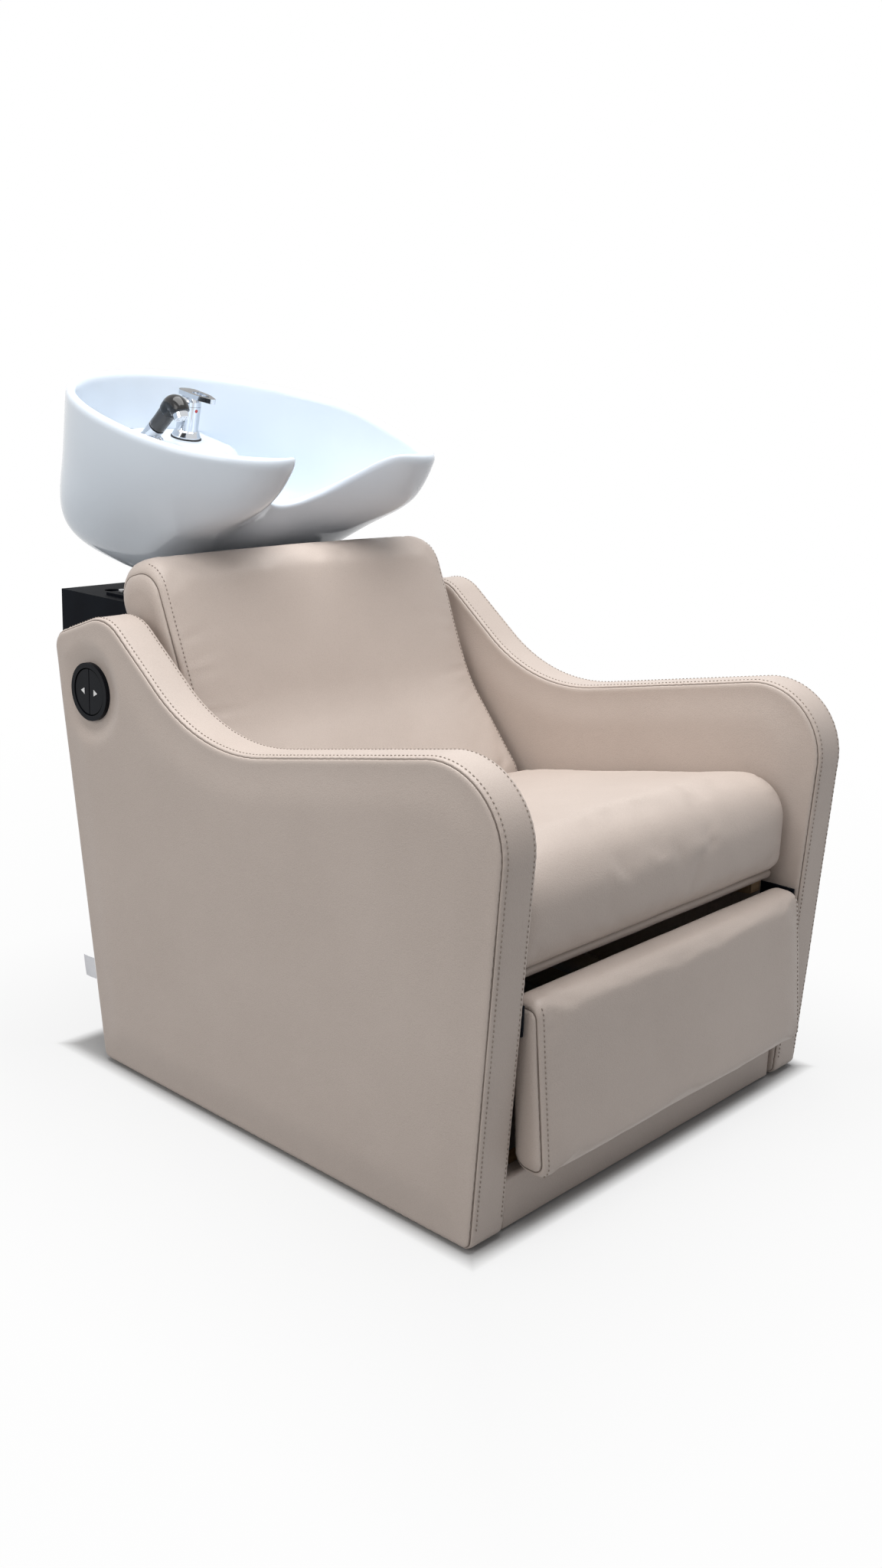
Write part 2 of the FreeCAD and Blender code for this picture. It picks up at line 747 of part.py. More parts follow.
for side, sign in (("right", -1), ("left", 1)):
    wall = "-(%s)" % INNER if sign < 0 else INNER + " - bracket_thickness"
    plate = box("plate_" + side, ("bracket_thickness", "bracket_length", "bracket_height"),
                (wall, "front_foot + pivot_place - bracket_height / 2", "pivot_height - bracket_height / 2"))
    reach = "pin_length + " + INNER + " - footrest_half_width + tube_end_gap - bracket_thickness"
    right_tip = "-(%s) + bracket_thickness" % INNER
    tip = right_tip if sign < 0 else "footrest_half_width - tube_end_gap - pin_length"
    pin = rod("pin_" + side, "pin_radius", reach + " - tube_groove",
              (tip + ("" if sign < 0 else " + tube_groove"), *PIVOT_AT), "X")
    keep(fuse("pivot_" + side, plate, pin), "footrest_bracket_" + side)

# Crank: two plates welded to the tube, with a pin between them

BACK_TURN = math.radians(S.crank_back_angle)
CRANK_Y = S.pivot_place + S.crank_radius * math.sin(BACK_TURN)
CRANK_Z = S.pivot_height - S.crank_radius * math.cos(BACK_TURN)


def crank_plate(name, low):
    half = S.crank_eye_radius
    along = V(CRANK_Y - S.pivot_place, CRANK_Z - S.pivot_height, 0).normalize()
    across = V(-along.y, along.x, 0)
    start = V(S.pivot_place, S.pivot_height, 0) - along * half
    end = V(CRANK_Y, CRANK_Z, 0) + along * half
    corners = [start - across * half, end - across * half, end + across * half, start + across * half]
    outline = [(p.x, p.y) for p in corners]
    return side_body(name, outline, [half * ROUND_SHARE] * 4, low, low + " + crank_thickness")


crank_bore = rod("crank_bore", "tube_radius", "footrest_half_width * 2",
                 ("-footrest_half_width", *PIVOT_AT), "X")
PIN_AT = ("front_foot + pivot_place + crank_radius * sin(crank_back_angle)",
          "pivot_height - crank_radius * cos(crank_back_angle)")
pin_bore = rod("pin_bore", "crank_pin_radius", "footrest_half_width * 2",
               ("-footrest_half_width", *PIN_AT), "X")
plates = [cut("crank_" + side, crank_plate("crank_plate_" + side, low), crank_bore, pin_bore)
          for side, low in (("right", "-crank_gap / 2 - crank_thickness"), ("left", "crank_gap / 2"))]
keep(group("crank", *plates), "footrest_crank")
keep(rod("crank_pin", "crank_pin_radius", "crank_gap + crank_thickness * 2",
         ("-crank_gap / 2 - crank_thickness", *PIN_AT), "X"), "crank_pin")

# Actuator: slotted crosshead on a rod that slides in a sleeve, with gearbox, motor and clevis

SLOT_HALF = S.crank_pin_radius + S.slot_clearance
PIN_LOW = S.pivot_height - S.crank_radius
ROD_Z = (CRANK_Z + PIN_LOW) / 2
SLOT_RISE = (CRANK_Z - PIN_LOW) / 2 + SLOT_HALF + S.slot_clearance
HEAD_HALF = SLOT_HALF + S.slot_wall
HEAD_RISE = SLOT_RISE + S.slot_wall


def upright(half_y, half_z):
    return [(CRANK_Y - half_y, ROD_Z - half_z), (CRANK_Y - half_y, ROD_Z + half_z),
            (CRANK_Y + half_y, ROD_Z + half_z), (CRANK_Y + half_y, ROD_Z - half_z)]


head_block = side_body("head_block", upright(HEAD_HALF, HEAD_RISE), [S.slot_wall] * 4,
                       "-crosshead_thickness / 2", "crosshead_thickness / 2")
head_slot = side_body("head_slot", upright(SLOT_HALF, SLOT_RISE), [SLOT_HALF * ROUND_SHARE] * 4,
                      "-crosshead_thickness / 2 - overrun", "crosshead_thickness / 2 + overrun")
keep(cut("crosshead", head_block, head_slot), "rod_crosshead")

ROD_FRONT = CRANK_Y + HEAD_HALF


def shaft(name, radius, length, start):
    item = doc.addObject("Part::Cylinder", name)
    item.Placement = FreeCAD.Placement(V(0, S.front_foot + start, ROD_Z), TURNS["Y"])
    bind(item, Radius=radius, Height=length)
    return item


keep(shaft("rod", "rod_radius", "rod_length", ROD_FRONT), "actuator_rod")
sleeve = shaft("sleeve", "sleeve_radius", "sleeve_length", S.sleeve_front)
sleeve_bore = shaft("sleeve_bore", "rod_radius + rod_fit", "sleeve_length - rod_fit",
                    S.sleeve_front - S.rod_radius)
keep(cut("sleeve", sleeve, sleeve_bore), "actuator_sleeve")

GEARBOX_Y = S.sleeve_front + S.sleeve_length


def solid_box(name, size, middle_x, low_y, low_z):
    item = doc.addObject("Part::Box", name)
    bind(item, Length=size[0], Width=size[1], Height=size[2])
    item.Placement.Base = V(middle_x, S.front_foot + low_y, low_z)
    return item


gearbox = solid_box("gearbox_block", ("gearbox_width", "gearbox_length", "gearbox_height"),
                    -S.gearbox_width / 2 + S.gearbox_offset, GEARBOX_Y, ROD_Z - S.gearbox_height / 2)
lug = solid_box("gearbox_lug", ("clevis_thickness", "clevis_length", "clevis_height"),
                -S.clevis_thickness / 2, GEARBOX_Y + S.gearbox_length, ROD_Z - S.clevis_height / 2)
CLEVIS_Y = GEARBOX_Y + S.gearbox_length + S.clevis_length / 2


def cross_pin(name, length, half_length):
    item = doc.addObject("Part::Cylinder", name)
    item.Placement = FreeCAD.Placement(V(-half_length, S.front_foot + CLEVIS_Y, ROD_Z), TURNS["X"])
    bind(item, Radius="clevis_pin_radius", Height=length)
    return item


clevis_hole = cross_pin("clevis_hole", "gearbox_width", S.gearbox_width / 2)
keep(cut("gearbox", fuse("gearbox", gearbox, lug), clevis_hole), "actuator_gearbox")

motor = doc.addObject("Part::Cylinder", "motor_can")
motor_end = V(S.motor_offset, S.front_foot + GEARBOX_Y - S.motor_length, ROD_Z)
motor.Placement = FreeCAD.Placement(motor_end, TURNS["Y"])
bind(motor, Radius="motor_radius", Height="motor_length")
motor_clear = shaft("motor_clear", "sleeve_radius", "sleeve_length", S.sleeve_front)
keep(cut("motor", motor, motor_clear), "actuator_motor")

EAR_X = S.clevis_thickness / 2
ears = [solid_box("clevis_ear", ("clevis_ear_thickness", "clevis_bracket_length", "clevis_height"), low,
                  CLEVIS_Y - S.clevis_length / 2, ROD_Z - S.clevis_height / 2)
        for low in (-EAR_X - S.clevis_ear_thickness, EAR_X)]
RAIL_Y = CLEVIS_Y - S.clevis_length / 2 + S.clevis_bracket_length
back_plate = solid_box("clevis_back", ("gearbox_width", "clevis_ear_thickness", "actuator_rail_height"),
                       -S.gearbox_width / 2, RAIL_Y, ROD_Z - S.actuator_rail_height / 2)
keep(cut("clevis", fuse("clevis", *ears, back_plate), clevis_hole), "actuator_bracket")
keep(cross_pin("clevis_pin", "clevis_thickness + clevis_ear_thickness * 2", EAR_X + S.clevis_ear_thickness),
     "clevis_pin")
keep(solid_box("actuator_rail_bar", (SPAN, "actuator_rail_thickness", "actuator_rail_height"), -ARM_INNER,
               RAIL_Y + S.clevis_ear_thickness, ROD_Z - S.actuator_rail_height / 2), "actuator_rail")

# Power supply on a shelf between the arm panels
keep(box("shelf", (SPAN, "supply_width", "shelf_thickness"),
         ("-(%s)" % INNER, "front_foot + supply_place", "shelf_height - shelf_thickness")), "supply_shelf")
keep(box("supply", ("supply_length", "supply_width", "supply_height"),
         ("-supply_side - supply_length / 2", "front_foot + supply_place", "shelf_height")), "power_supply")

# Tilt bracket on the box: a foot plate and two ears with a hinge bolt

HINGE_AT = ("front_foot + hinge_place", "hinge_height")
foot_plate = box("bracket_plate", ("ear_spacing + ear_thickness * 2 + foot_plate_width * 2",
                                   "ear_half_length * 2", "foot_plate_thickness"),
                 ("-ear_spacing / 2 - ear_thickness - foot_plate_width",
                  "front_foot + hinge_place - ear_half_length", "box_top"))
EAR_LOW = S.box_top + S.foot_plate_thickness
ear_points = [(S.hinge_place - S.ear_half_length, EAR_LOW),
              (S.hinge_place - S.ear_top_radius, S.hinge_height + S.ear_top_radius),
              (S.hinge_place + S.ear_top_radius, S.hinge_height + S.ear_top_radius),
              (S.hinge_place + S.ear_half_length, EAR_LOW)]
EAR_RADII = [S.small_radius, S.ear_top_radius / 2, S.ear_top_radius / 2, S.small_radius]
fixed_ears = [side_body("ear_" + side, ear_points, EAR_RADII, low, low + " + ear_thickness")
              for side, low in (("right", "-ear_spacing / 2 - ear_thickness"), ("left", "ear_spacing / 2"))]
hinge_hole = rod("hinge_hole", "hinge_bolt_radius", "ear_spacing * 2", ("-ear_spacing", *HINGE_AT), "X")
screw_tools = []
screws = []
for side in ("-", ""):
    for end in ("-", "+"):
        where = ("%s(ear_spacing / 2 + ear_thickness + foot_plate_width / 2)" % side,
                 "front_foot + hinge_place %s bracket_bolt_offset" % end)
        stem = rod("screw_stem", "bracket_bolt_radius", "foot_plate_thickness + box_wall",
                   (*where, "box_top - box_wall"))
        head = rod("screw_head", "bracket_bolt_head", "bracket_bolt_radius",
                   (*where, "box_top + foot_plate_thickness"))
        screws.append(fuse("screw", stem, head))
        screw_tools.append(stem)
waste_hole = rod("waste_hole", "waste_hole_radius", "box_wall + foot_plate_thickness + overrun * 2",
                 ("0", "front_foot + drain_place", "box_top - box_wall - overrun"))
keep(cut("tilt_bracket", fuse("tilt_bracket", foot_plate, *fixed_ears), hinge_hole, waste_hole, *screw_tools),
     "tilt_bracket")
keep(group("bracket_screws", *screws), "bracket_screws")

# Support box behind the back: folded sheet flush with the leaning rear panel, open below, with two end plates
shell_points = [(box_front(BOX_LOW), BOX_LOW), (box_front(S.box_top), S.box_top),
                (S.box_rear, S.box_top), (S.box_rear, BOX_LOW)]
WALL_SHIFT = S.box_wall / OUTWARD.y
HOLLOW_LOW = BOX_LOW - S.overrun
HOLLOW_TOP = S.box_top - S.box_wall
hollow_points = [(box_front(HOLLOW_LOW) + WALL_SHIFT, HOLLOW_LOW),
                 (box_front(HOLLOW_TOP) + WALL_SHIFT, HOLLOW_TOP),
                 (S.box_rear - S.box_wall, HOLLOW_TOP), (S.box_rear - S.box_wall, HOLLOW_LOW)]
SHELL_END = "box_half_width - box_wall"
shell = side_body("shell", shell_points, SMALL_RADII, "-(%s)" % SHELL_END, SHELL_END)
hollow = side_body("hollow", hollow_points, SMALL_RADII, "-box_half_width", "box_half_width")
hose_hole = rod("hose_hole", "hose_hole_radius", "box_wall + overrun * 2",
                ("-hose_hole_side", "front_foot + hose_hole_place", "box_top - box_wall - overrun"))
keep(cut("support_box", shell, hollow, waste_hole, hose_hole, *bolt_holes, *screw_tools), "support_box")
end_plates = [side_body("end_" + side, shell_points, SMALL_RADII, low, low + " + box_wall")
              for side, low in (("right", "-box_half_width"), ("left", SHELL_END))]
keep(group("box_ends", *end_plates), "box_ends")

# Hinge bolt through the ears, with its nut
SHAFT = "ear_spacing + ear_thickness * 2"
bolt_shaft = rod("hinge_shaft", "hinge_bolt_radius", SHAFT + " + hinge_head_thickness",
                 ("-ear_spacing / 2 - ear_thickness", *HINGE_AT), "X")
bolt_head = rod("hinge_head", "hinge_head_radius", "hinge_head_thickness",
                ("-ear_spacing / 2 - ear_thickness - hinge_head_thickness", *HINGE_AT), "X")
keep(fuse("hinge_bolt", bolt_shaft, bolt_head), "hinge_bolt")
nut_disc = rod("hinge_nut_disc", "hinge_head_radius", "hinge_head_thickness",
               ("ear_spacing / 2 + ear_thickness", *HINGE_AT), "X")
nut_bore = rod("hinge_nut_bore", "hinge_bolt_radius", "hinge_head_thickness + overrun * 2",
               ("ear_spacing / 2 + ear_thickness - overrun", *HINGE_AT), "X")
keep(cut("hinge_nut", nut_disc, nut_bore), "hinge_nut")

# Basin: ceramic shell lofted through sections that lie parallel to the sloping rim

# Half outline from the rear middle to the front tip, as shares of half width and of length
RIM_SHARES = [(0, 0), (0.48, 0.066), (0.845, 0.245), (1, 0.47), (0.965, 0.66), (0.83, 0.85)]
# Each section: share of depth, half width, length in front and behind, notch and half width of the tips
OUTER_SHARES = [(0, 1, 0, 0, 1, 1), (0.22, 1, 0.055, 0, 1, 1.03), (0.45, 0.98, 0.168, 0, 0.75, 1.1),
                (0.7, 0.93, 0.365, 0.012, 0.2, 1.12), (0.9, 0.78, 0.47, 0.07, 0.08, 0.9),
                (1, 0.6, 0.5, 0.13, 0, 0.6)]
# The rim's sides sag behind the tips: share of length from the front and share of the dip
DIP_SHARES = [(0.06, 0.25), (0.13, 0.75), (0.24, 1), (0.36, 0.85), (0.48, 0.45), (0.6, 0.1)]
# Middle point of the neck recess, and how much of the wall shows at the front and at the tips
NECK_WIDE_SHARE = 0.5
NECK_DEEP_SHARE = 0.6
FRONT_WALL_SHARE = 1.3
TIP_WALL_SHARE = 0.7
BASIN_LENGTH = S.basin_rear - S.basin_front


def rim_height(y):
    return S.basin_tip_height + (y - S.basin_front) * S.rim_slope_share


def on_rim(x, y, depth):
    return V(x, S.front_foot + y, rim_height(y) - depth)


def basin_section(depth, half_width, front, rear, tip, notch):
    """Closed curve parallel to the rim, at a depth below it."""
    length = rear - front
    half = [(share_x * half_width, rear - share_y * length) for share_x, share_y in RIM_SHARES]
    half.append((tip, front))
    half.append((tip * NECK_WIDE_SHARE, front + notch * NECK_DEEP_SHARE))
    half.append((0, front + notch))
    other = [(-x, y) for x, y in reversed(half[1:-1])]
    points = [on_rim(x, y, depth) for x, y in half + other]
    curve = Part.BSplineCurve()
    curve.interpolate(points, PeriodicFlag=True)
    return Part.Wire(curve.toShape())


def basin_loft(wall, low_share, high_share, rise):
    """Solid between two shares of depth, drawn in by the wall; the top is raised by rise."""
    wires = []
    for depth_share, wide_share, front_share, rear_share, notch_share, tip_share in OUTER_SHARES:
        if low_share <= depth_share <= high_share:
            depth = depth_share * (S.basin_depth - (S.bowl_floor if wall else 0))
            front = S.basin_front + front_share * BASIN_LENGTH + wall * FRONT_WALL_SHARE
            rear = S.basin_rear - rear_share * BASIN_LENGTH - wall
            width = S.basin_half_width * wide_share - wall
            tip = S.tip_half_width * tip_share - wall * TIP_WALL_SHARE
            notch = S.neck_notch * notch_share
            if depth_share == 0 and rise:
                wires.append(basin_section(-rise, width, front, rear, tip, notch))
            wires.append(basin_section(depth, width, front, rear, tip, notch))
    return Part.makeLoft(wires, True, False)


outer = basin_loft(0, 0, 1, 0)
inner = basin_loft(S.basin_wall, 0, 1, S.overrun)


def tilted_slab(low_y, high_y, low_depth, high_depth):
    """Prism across the whole width between two depths below the rim."""
    outline = ((low_y, low_depth), (high_y, low_depth), (high_y, high_depth), (low_y, high_depth))
    corners = [on_rim(-S.overall_width, y, depth) for y, depth in outline]
    face = Part.Face(Part.makePolygon(corners + corners[:1]))
    return face.extrude(V(S.overall_width * 2, 0, 0))


PAST = S.basin_rear + S.overall_width
shelf_solid = tilted_slab(S.ledge_front, PAST, S.ledge_depth, S.overall_width)
bowl_hollow = inner.cut(shelf_solid)
neck_cut = Part.makeCylinder(S.neck_radius, S.neck_reach,
                             V(0, S.front_foot + S.basin_front - S.neck_start, S.neck_height + S.neck_radius),
                             V(0, 1, 0))
# The sag is cut by a prism whose lower side follows the dip and whose ends run out above the rim
sag_points = [(S.basin_front - S.overrun, -S.overrun)]
for along, share in DIP_SHARES:
    sag_points.append((S.basin_front + along * BASIN_LENGTH, share * S.rim_dip))
sag_points.append((S.ledge_front, -S.overrun))
sag_line = Part.BSplineCurve()
sag_line.interpolate([on_rim(-S.overall_width, y, depth) for y, depth in sag_points])
sag_high = on_rim(-S.overall_width, S.tap_place, -S.ledge_depth)
sag_edges = [sag_line.toShape(), Part.makeLine(sag_line.EndPoint, sag_high),
             Part.makeLine(sag_high, sag_line.StartPoint)]
rim_sag = Part.Face(Part.Wire(sag_edges)).extrude(V(S.overall_width * 2, 0, 0))
# Well under the ledge, open below, where the taps are fastened
well_slab = tilted_slab(S.ledge_front + S.ledge_thickness, S.tap_well_rear,
                        S.ledge_depth + S.ledge_thickness, S.overall_width)
well_width = Part.makeBox(S.tap_well_half_width * 2, S.overall_width * 2, S.overall_width * 2,
                          V(-S.tap_well_half_width, 0, 0))
tap_well = well_slab.common(well_width)

# Taps, drain and yoke stand square to the rim
UP = V(0, -S.rim_slope_share, 1).normalize()
LEVEL = FreeCAD.Rotation(V(0, 0, 1), UP)


def turned(name, profile, where, rotation):
    """Solid of revolution from a profile of (radius, height) points."""
    body = doc.addObject("PartDesign::Body", name)
    plane = next(item for item in body.Origin.OriginFeatures if item.Role == "XZ_Plane")
    sketch = body.newObject("Sketcher::SketchObject", name + "_sketch")
    sketch.AttachmentSupport = (plane, "")
    sketch.MapMode = "FlatFace"
    corners = [V(radius, height, 0) for radius, height in profile]
    for here, after in zip(corners, corners[1:] + corners[:1]):
        sketch.addGeometry(Part.LineSegment(here, after), False)
    spin = body.newObject("PartDesign::Revolution", name + "_turn")
    spin.Profile = sketch
    spin.ReferenceAxis = (sketch, ["V_Axis"])
    spin.Angle = 360
    body.Placement = FreeCAD.Placement(where, rotation)
    doc.recompute()
    return body


def ring(inner_radius, outer_radius, low, high):
    return [(inner_radius, low), (outer_radius, low), (outer_radius, high), (inner_radius, high)]


def disc(radius, low, high):
    return ring(0, radius, low, high)


MIXER_AT = on_rim(S.tap_spacing / 2, S.tap_place, S.ledge_depth)
HOLDER_AT = on_rim(-S.tap_spacing / 2, S.tap_place, S.ledge_depth)
DRAIN_FLOOR = S.basin_depth - S.bowl_floor
DRAIN_AT = on_rim(0, S.drain_place, DRAIN_FLOOR)

tap_hole = disc(S.shank_radius + S.shank_hole_fit, -S.ledge_thickness - S.overrun, S.overrun)
mixer_hole = turned("mixer_hole", tap_hole, MIXER_AT, LEVEL)
holder_hole = turned("holder_hole", tap_hole, HOLDER_AT, LEVEL)
drain_hole = turned("drain_hole", disc(S.drain_radius, -S.bowl_floor - S.overrun, S.overrun), DRAIN_AT, LEVEL)
basin_blank = feature("basin_blank", outer.cut(bowl_hollow).cut(neck_cut).cut(rim_sag).cut(tap_well))
keep(cut("basin", basin_blank, mixer_hole, holder_hole, drain_hole), "basin")

# Drain: slotted flange with its sleeve, nut under the bowl and tailpipe
flange_profile = [(0, 0), (S.drain_flange_radius, 0), (S.drain_flange_radius, S.drain_flange_thickness),
                  (0, S.drain_flange_thickness)]
SLEEVE_END = -S.bowl_floor - S.drain_nut_thickness
plate_disc = turned("flange_plate", flange_profile, DRAIN_AT, LEVEL)
sleeve_tube = turned("flange_sleeve", ring(S.drain_radius - S.tailpipe_wall, S.drain_radius, SLEEVE_END, 0),
                     DRAIN_AT, LEVEL)
SLOT_COUNT = 6
slots = []
for number in range(SLOT_COUNT):
    turn = 2 * math.pi * number / SLOT_COUNT
    spot = V(math.cos(turn), math.sin(turn), 0) * S.drain_slot_circle
    slot_profile = disc(S.drain_slot_radius, -S.overrun, S.drain_flange_thickness + S.overrun)
    slots.append(turned("drain_slot", slot_profile, DRAIN_AT + LEVEL.multVec(spot), LEVEL))
keep(cut("drain", fuse("drain_flange", plate_disc, sleeve_tube), *slots), "drain_flange")
nut_low = SLEEVE_END
keep(turned("drain_nut", ring(S.drain_radius, S.drain_nut_radius, nut_low, -S.bowl_floor), DRAIN_AT, LEVEL),
     "drain_nut")
pipe_length = (DRAIN_AT.z - S.tailpipe_end) / UP.z
pipe_outer = S.drain_radius - S.tailpipe_wall
keep(turned("tailpipe", [(S.tailpipe_radius - S.tailpipe_wall, -S.drain_flange_thickness),
                         (pipe_outer, -S.drain_flange_thickness), (pipe_outer, nut_low),
                         (S.tailpipe_radius, nut_low), (S.tailpipe_radius, -pipe_length),
                         (S.tailpipe_radius - S.tailpipe_wall, -pipe_length)], DRAIN_AT, LEVEL), "tailpipe")

# Yoke: plate under the bowl with two ears on the hinge bolt
EAR_OUT = S.ear_spacing / 2 - S.yoke_gap


def under_bowl(y, below):
    return (y, rim_height(y) - S.basin_depth - below)


yoke_points = [under_bowl(S.yoke_front, 0), under_bowl(S.yoke_rear, 0),
               under_bowl(S.yoke_rear, S.yoke_thickness), under_bowl(S.yoke_front, S.yoke_thickness)]
yoke_plate = side_body("yoke_plate", yoke_points, SMALL_RADII, "-ear_spacing / 2 + yoke_gap",
                       "ear_spacing / 2 - yoke_gap")
yoke_ear_points = [under_bowl(S.hinge_place - S.ear_half_length, S.yoke_thickness / 2),
                   under_bowl(S.hinge_place + S.ear_half_length, S.yoke_thickness / 2),
                   (S.hinge_place + S.ear_top_radius, S.hinge_height - S.ear_top_radius),
                   (S.hinge_place - S.ear_top_radius, S.hinge_height - S.ear_top_radius)]
YOKE_EAR_RADII = [S.small_radius] * 2 + [S.ear_top_radius / 2] * 2
yoke_ears = [side_body("yoke_ear_" + side, yoke_ear_points, YOKE_EAR_RADII, low, low + " + ear_thickness")
             for side, low in (("right", "-ear_spacing / 2 + yoke_gap"),
                               ("left", "ear_spacing / 2 - yoke_gap - ear_thickness"))]
yoke_bore = rod("yoke_bore", "hinge_bolt_radius + pin_fit", "ear_spacing",
                ("-ear_spacing / 2", *HINGE_AT), "X")
yoke_hole = turned("yoke_hole", disc(S.drain_nut_radius + S.yoke_hole_gap, -S.bowl_floor * 2, 0),
                   DRAIN_AT, LEVEL)
keep(cut("yoke", fuse("yoke", yoke_plate, *yoke_ears), yoke_bore, yoke_hole), "basin_yoke")

# Mixer: gasket, flared body, shank and nut under the ledge, swivel cap, looped lever and a red dot
keep(turned("gasket", ring(S.shank_radius, S.gasket_radius, 0, S.gasket_thickness), MIXER_AT, LEVEL),
     "mixer_gasket")
body_low = S.gasket_thickness
body_top = S.gasket_thickness + S.mixer_height
foot_top = body_low + S.mixer_foot_height
mixer_profile = [(0, body_low), (S.mixer_foot_radius, body_low),
                 (S.mixer_foot_radius, body_low + S.gasket_thickness),
                 (S.mixer_radius + S.gasket_thickness, foot_top),
                 (S.mixer_radius, foot_top + S.gasket_thickness),
                 (S.mixer_radius, body_top), (0, body_top)]
mixer_blank = turned("mixer_blank", mixer_profile, MIXER_AT, LEVEL)
dot_height = body_top - S.dot_radius * 2
dot_axis = LEVEL.multVec(V(0, -1, 0))
dot_base = MIXER_AT + LEVEL.multVec(V(0, -S.mixer_radius + S.dot_depth, dot_height))
dot_turn = FreeCAD.Rotation(V(0, 0, 1), dot_axis)
dot_pocket = turned("dot_pocket", disc(S.dot_radius, 0, S.dot_depth * 2), dot_base, dot_turn)
keep(cut("mixer", mixer_blank, dot_pocket), "mixer_body")
keep(turned("dot", disc(S.dot_radius, 0, S.dot_depth), dot_base, dot_turn), "temperature_dot")
shank_profile = disc(S.shank_radius, body_low - S.shank_length, body_low)
keep(turned("shank", shank_profile, MIXER_AT, LEVEL), "mixer_shank")
NUT_LOW = -S.ledge_thickness - S.tap_nut_thickness
nut_ring = ring(S.shank_radius, S.tap_nut_radius, NUT_LOW, -S.ledge_thickness)
cap_low = body_top + S.cap_fit
cap_top = cap_low + S.cap_height
keep(turned("cap", [(0, cap_low), (S.mixer_radius, cap_low), (S.mixer_radius, cap_low + S.cap_height / 2),
                    (S.cap_top_radius, cap_top), (0, cap_top)], MIXER_AT, LEVEL), "mixer_cap")

LEVER_LOW = cap_top + S.cap_fit


def flat_body(name, points, radii, height, where):
    """Outline in its own X and Y, padded up, set square to the rim."""
    body = doc.addObject("PartDesign::Body", name)
    plane = next(item for item in body.Origin.OriginFeatures if item.Role == "XY_Plane")
    sketch = body.newObject("Sketcher::SketchObject", name + "_sketch")
    sketch.AttachmentSupport = (plane, "")
    sketch.MapMode = "FlatFace"
    for edge in rounded([V(x, y, 0) for x, y in points], radii):
        sketch.addGeometry(edge, False)
    pad_up = body.newObject("PartDesign::Pad", name + "_pad")
    pad_up.Profile = sketch
    bind(pad_up, Length=height)
    body.Placement = FreeCAD.Placement(where, LEVEL)
    doc.recompute()
    return body


lever_tip = S.lever_tail - S.lever_length
TIP_SHARE = 0.3
TIP_ROUND_SHARE = 0.7
TAIL_ROUND_SHARE = 0.9
LOOP_TAPER_SHARE = 0.6
LOOP_NEAR_SHARE = 0.8
LOOP_FAR_SHARE = 0.5
lever_points = [(S.lever_half_width, S.lever_tail), (S.lever_half_width, lever_tip / 2),
                (S.lever_half_width * TIP_SHARE, lever_tip), (-S.lever_half_width * TIP_SHARE, lever_tip),
                (-S.lever_half_width, lever_tip / 2), (-S.lever_half_width, S.lever_tail)]
TIP_RADIUS = S.lever_half_width * TIP_SHARE * TIP_ROUND_SHARE
TAIL_RADIUS = S.lever_half_width * TAIL_ROUND_SHARE
HALF_RADII = [TAIL_RADIUS, S.lever_half_width * 2, TIP_RADIUS]
LEVER_RADII = HALF_RADII + HALF_RADII[::-1]
lever_plate = flat_body("lever_plate", lever_points, LEVER_RADII, "lever_thickness",
                        MIXER_AT + UP * LEVER_LOW)
loop_near = S.lever_tail - S.loop_place
loop_far = loop_near - S.loop_length
loop_end = S.loop_half_width * LOOP_TAPER_SHARE
loop_points = [(S.loop_half_width, loop_near), (loop_end, loop_far),
               (-loop_end, loop_far), (-S.loop_half_width, loop_near)]
LOOP_SHARES = (LOOP_NEAR_SHARE, LOOP_FAR_SHARE, LOOP_FAR_SHARE, LOOP_NEAR_SHARE)
LOOP_RADII = [S.loop_half_width * share for share in LOOP_SHARES]
loop_hole = flat_body("lever_loop", loop_points, LOOP_RADII, "lever_thickness + overrun * 2",
                      MIXER_AT + UP * (LEVER_LOW - S.overrun))
keep(cut("lever", lever_plate, loop_hole), "mixer_lever")

# Handset: flared holder with a leaning collar, handle, elbow head and nozzle
LEAN = FreeCAD.Rotation(V(1, 0, 0), S.holder_lean_angle)
SLANT = LEVEL.multiply(LEAN)
ALONG = SLANT.multVec(V(0, 0, 1))
foot_profile = [(0, 0), (S.holder_foot_radius, 0), (S.holder_foot_radius, S.gasket_thickness),
                (S.holder_collar_radius, S.holder_foot_height), (0, S.holder_foot_height)]
holder_foot = turned("holder_foot", foot_profile, HOLDER_AT, LEVEL)
COLLAR_AT = HOLDER_AT + UP * S.gasket_thickness * 2
collar = turned("holder_collar", disc(S.holder_collar_radius, 0, S.holder_height), COLLAR_AT, SLANT)
below = turned("holder_below", disc(S.holder_foot_radius * 2, -S.holder_foot_radius * 2, 0), HOLDER_AT, LEVEL)
stub = turned("holder_stub", disc(S.shank_radius, NUT_LOW, 0), HOLDER_AT, LEVEL)
socket_floor = S.holder_height - S.spigot_length - S.cap_fit
socket_profile = disc(S.holder_bore_radius, socket_floor, S.holder_height + S.overrun)
socket = turned("holder_socket", socket_profile, COLLAR_AT, SLANT)
holder_upper = cut("holder_upper", fuse("holder_flare", holder_foot, collar), below)
keep(cut("holder", fuse("holder", holder_upper, stub), socket), "handset_holder")
keep(group("tap_nuts", turned("mixer_nut", nut_ring, MIXER_AT, LEVEL),
           turned("holder_nut", nut_ring, HOLDER_AT, LEVEL)), "tap_nuts")

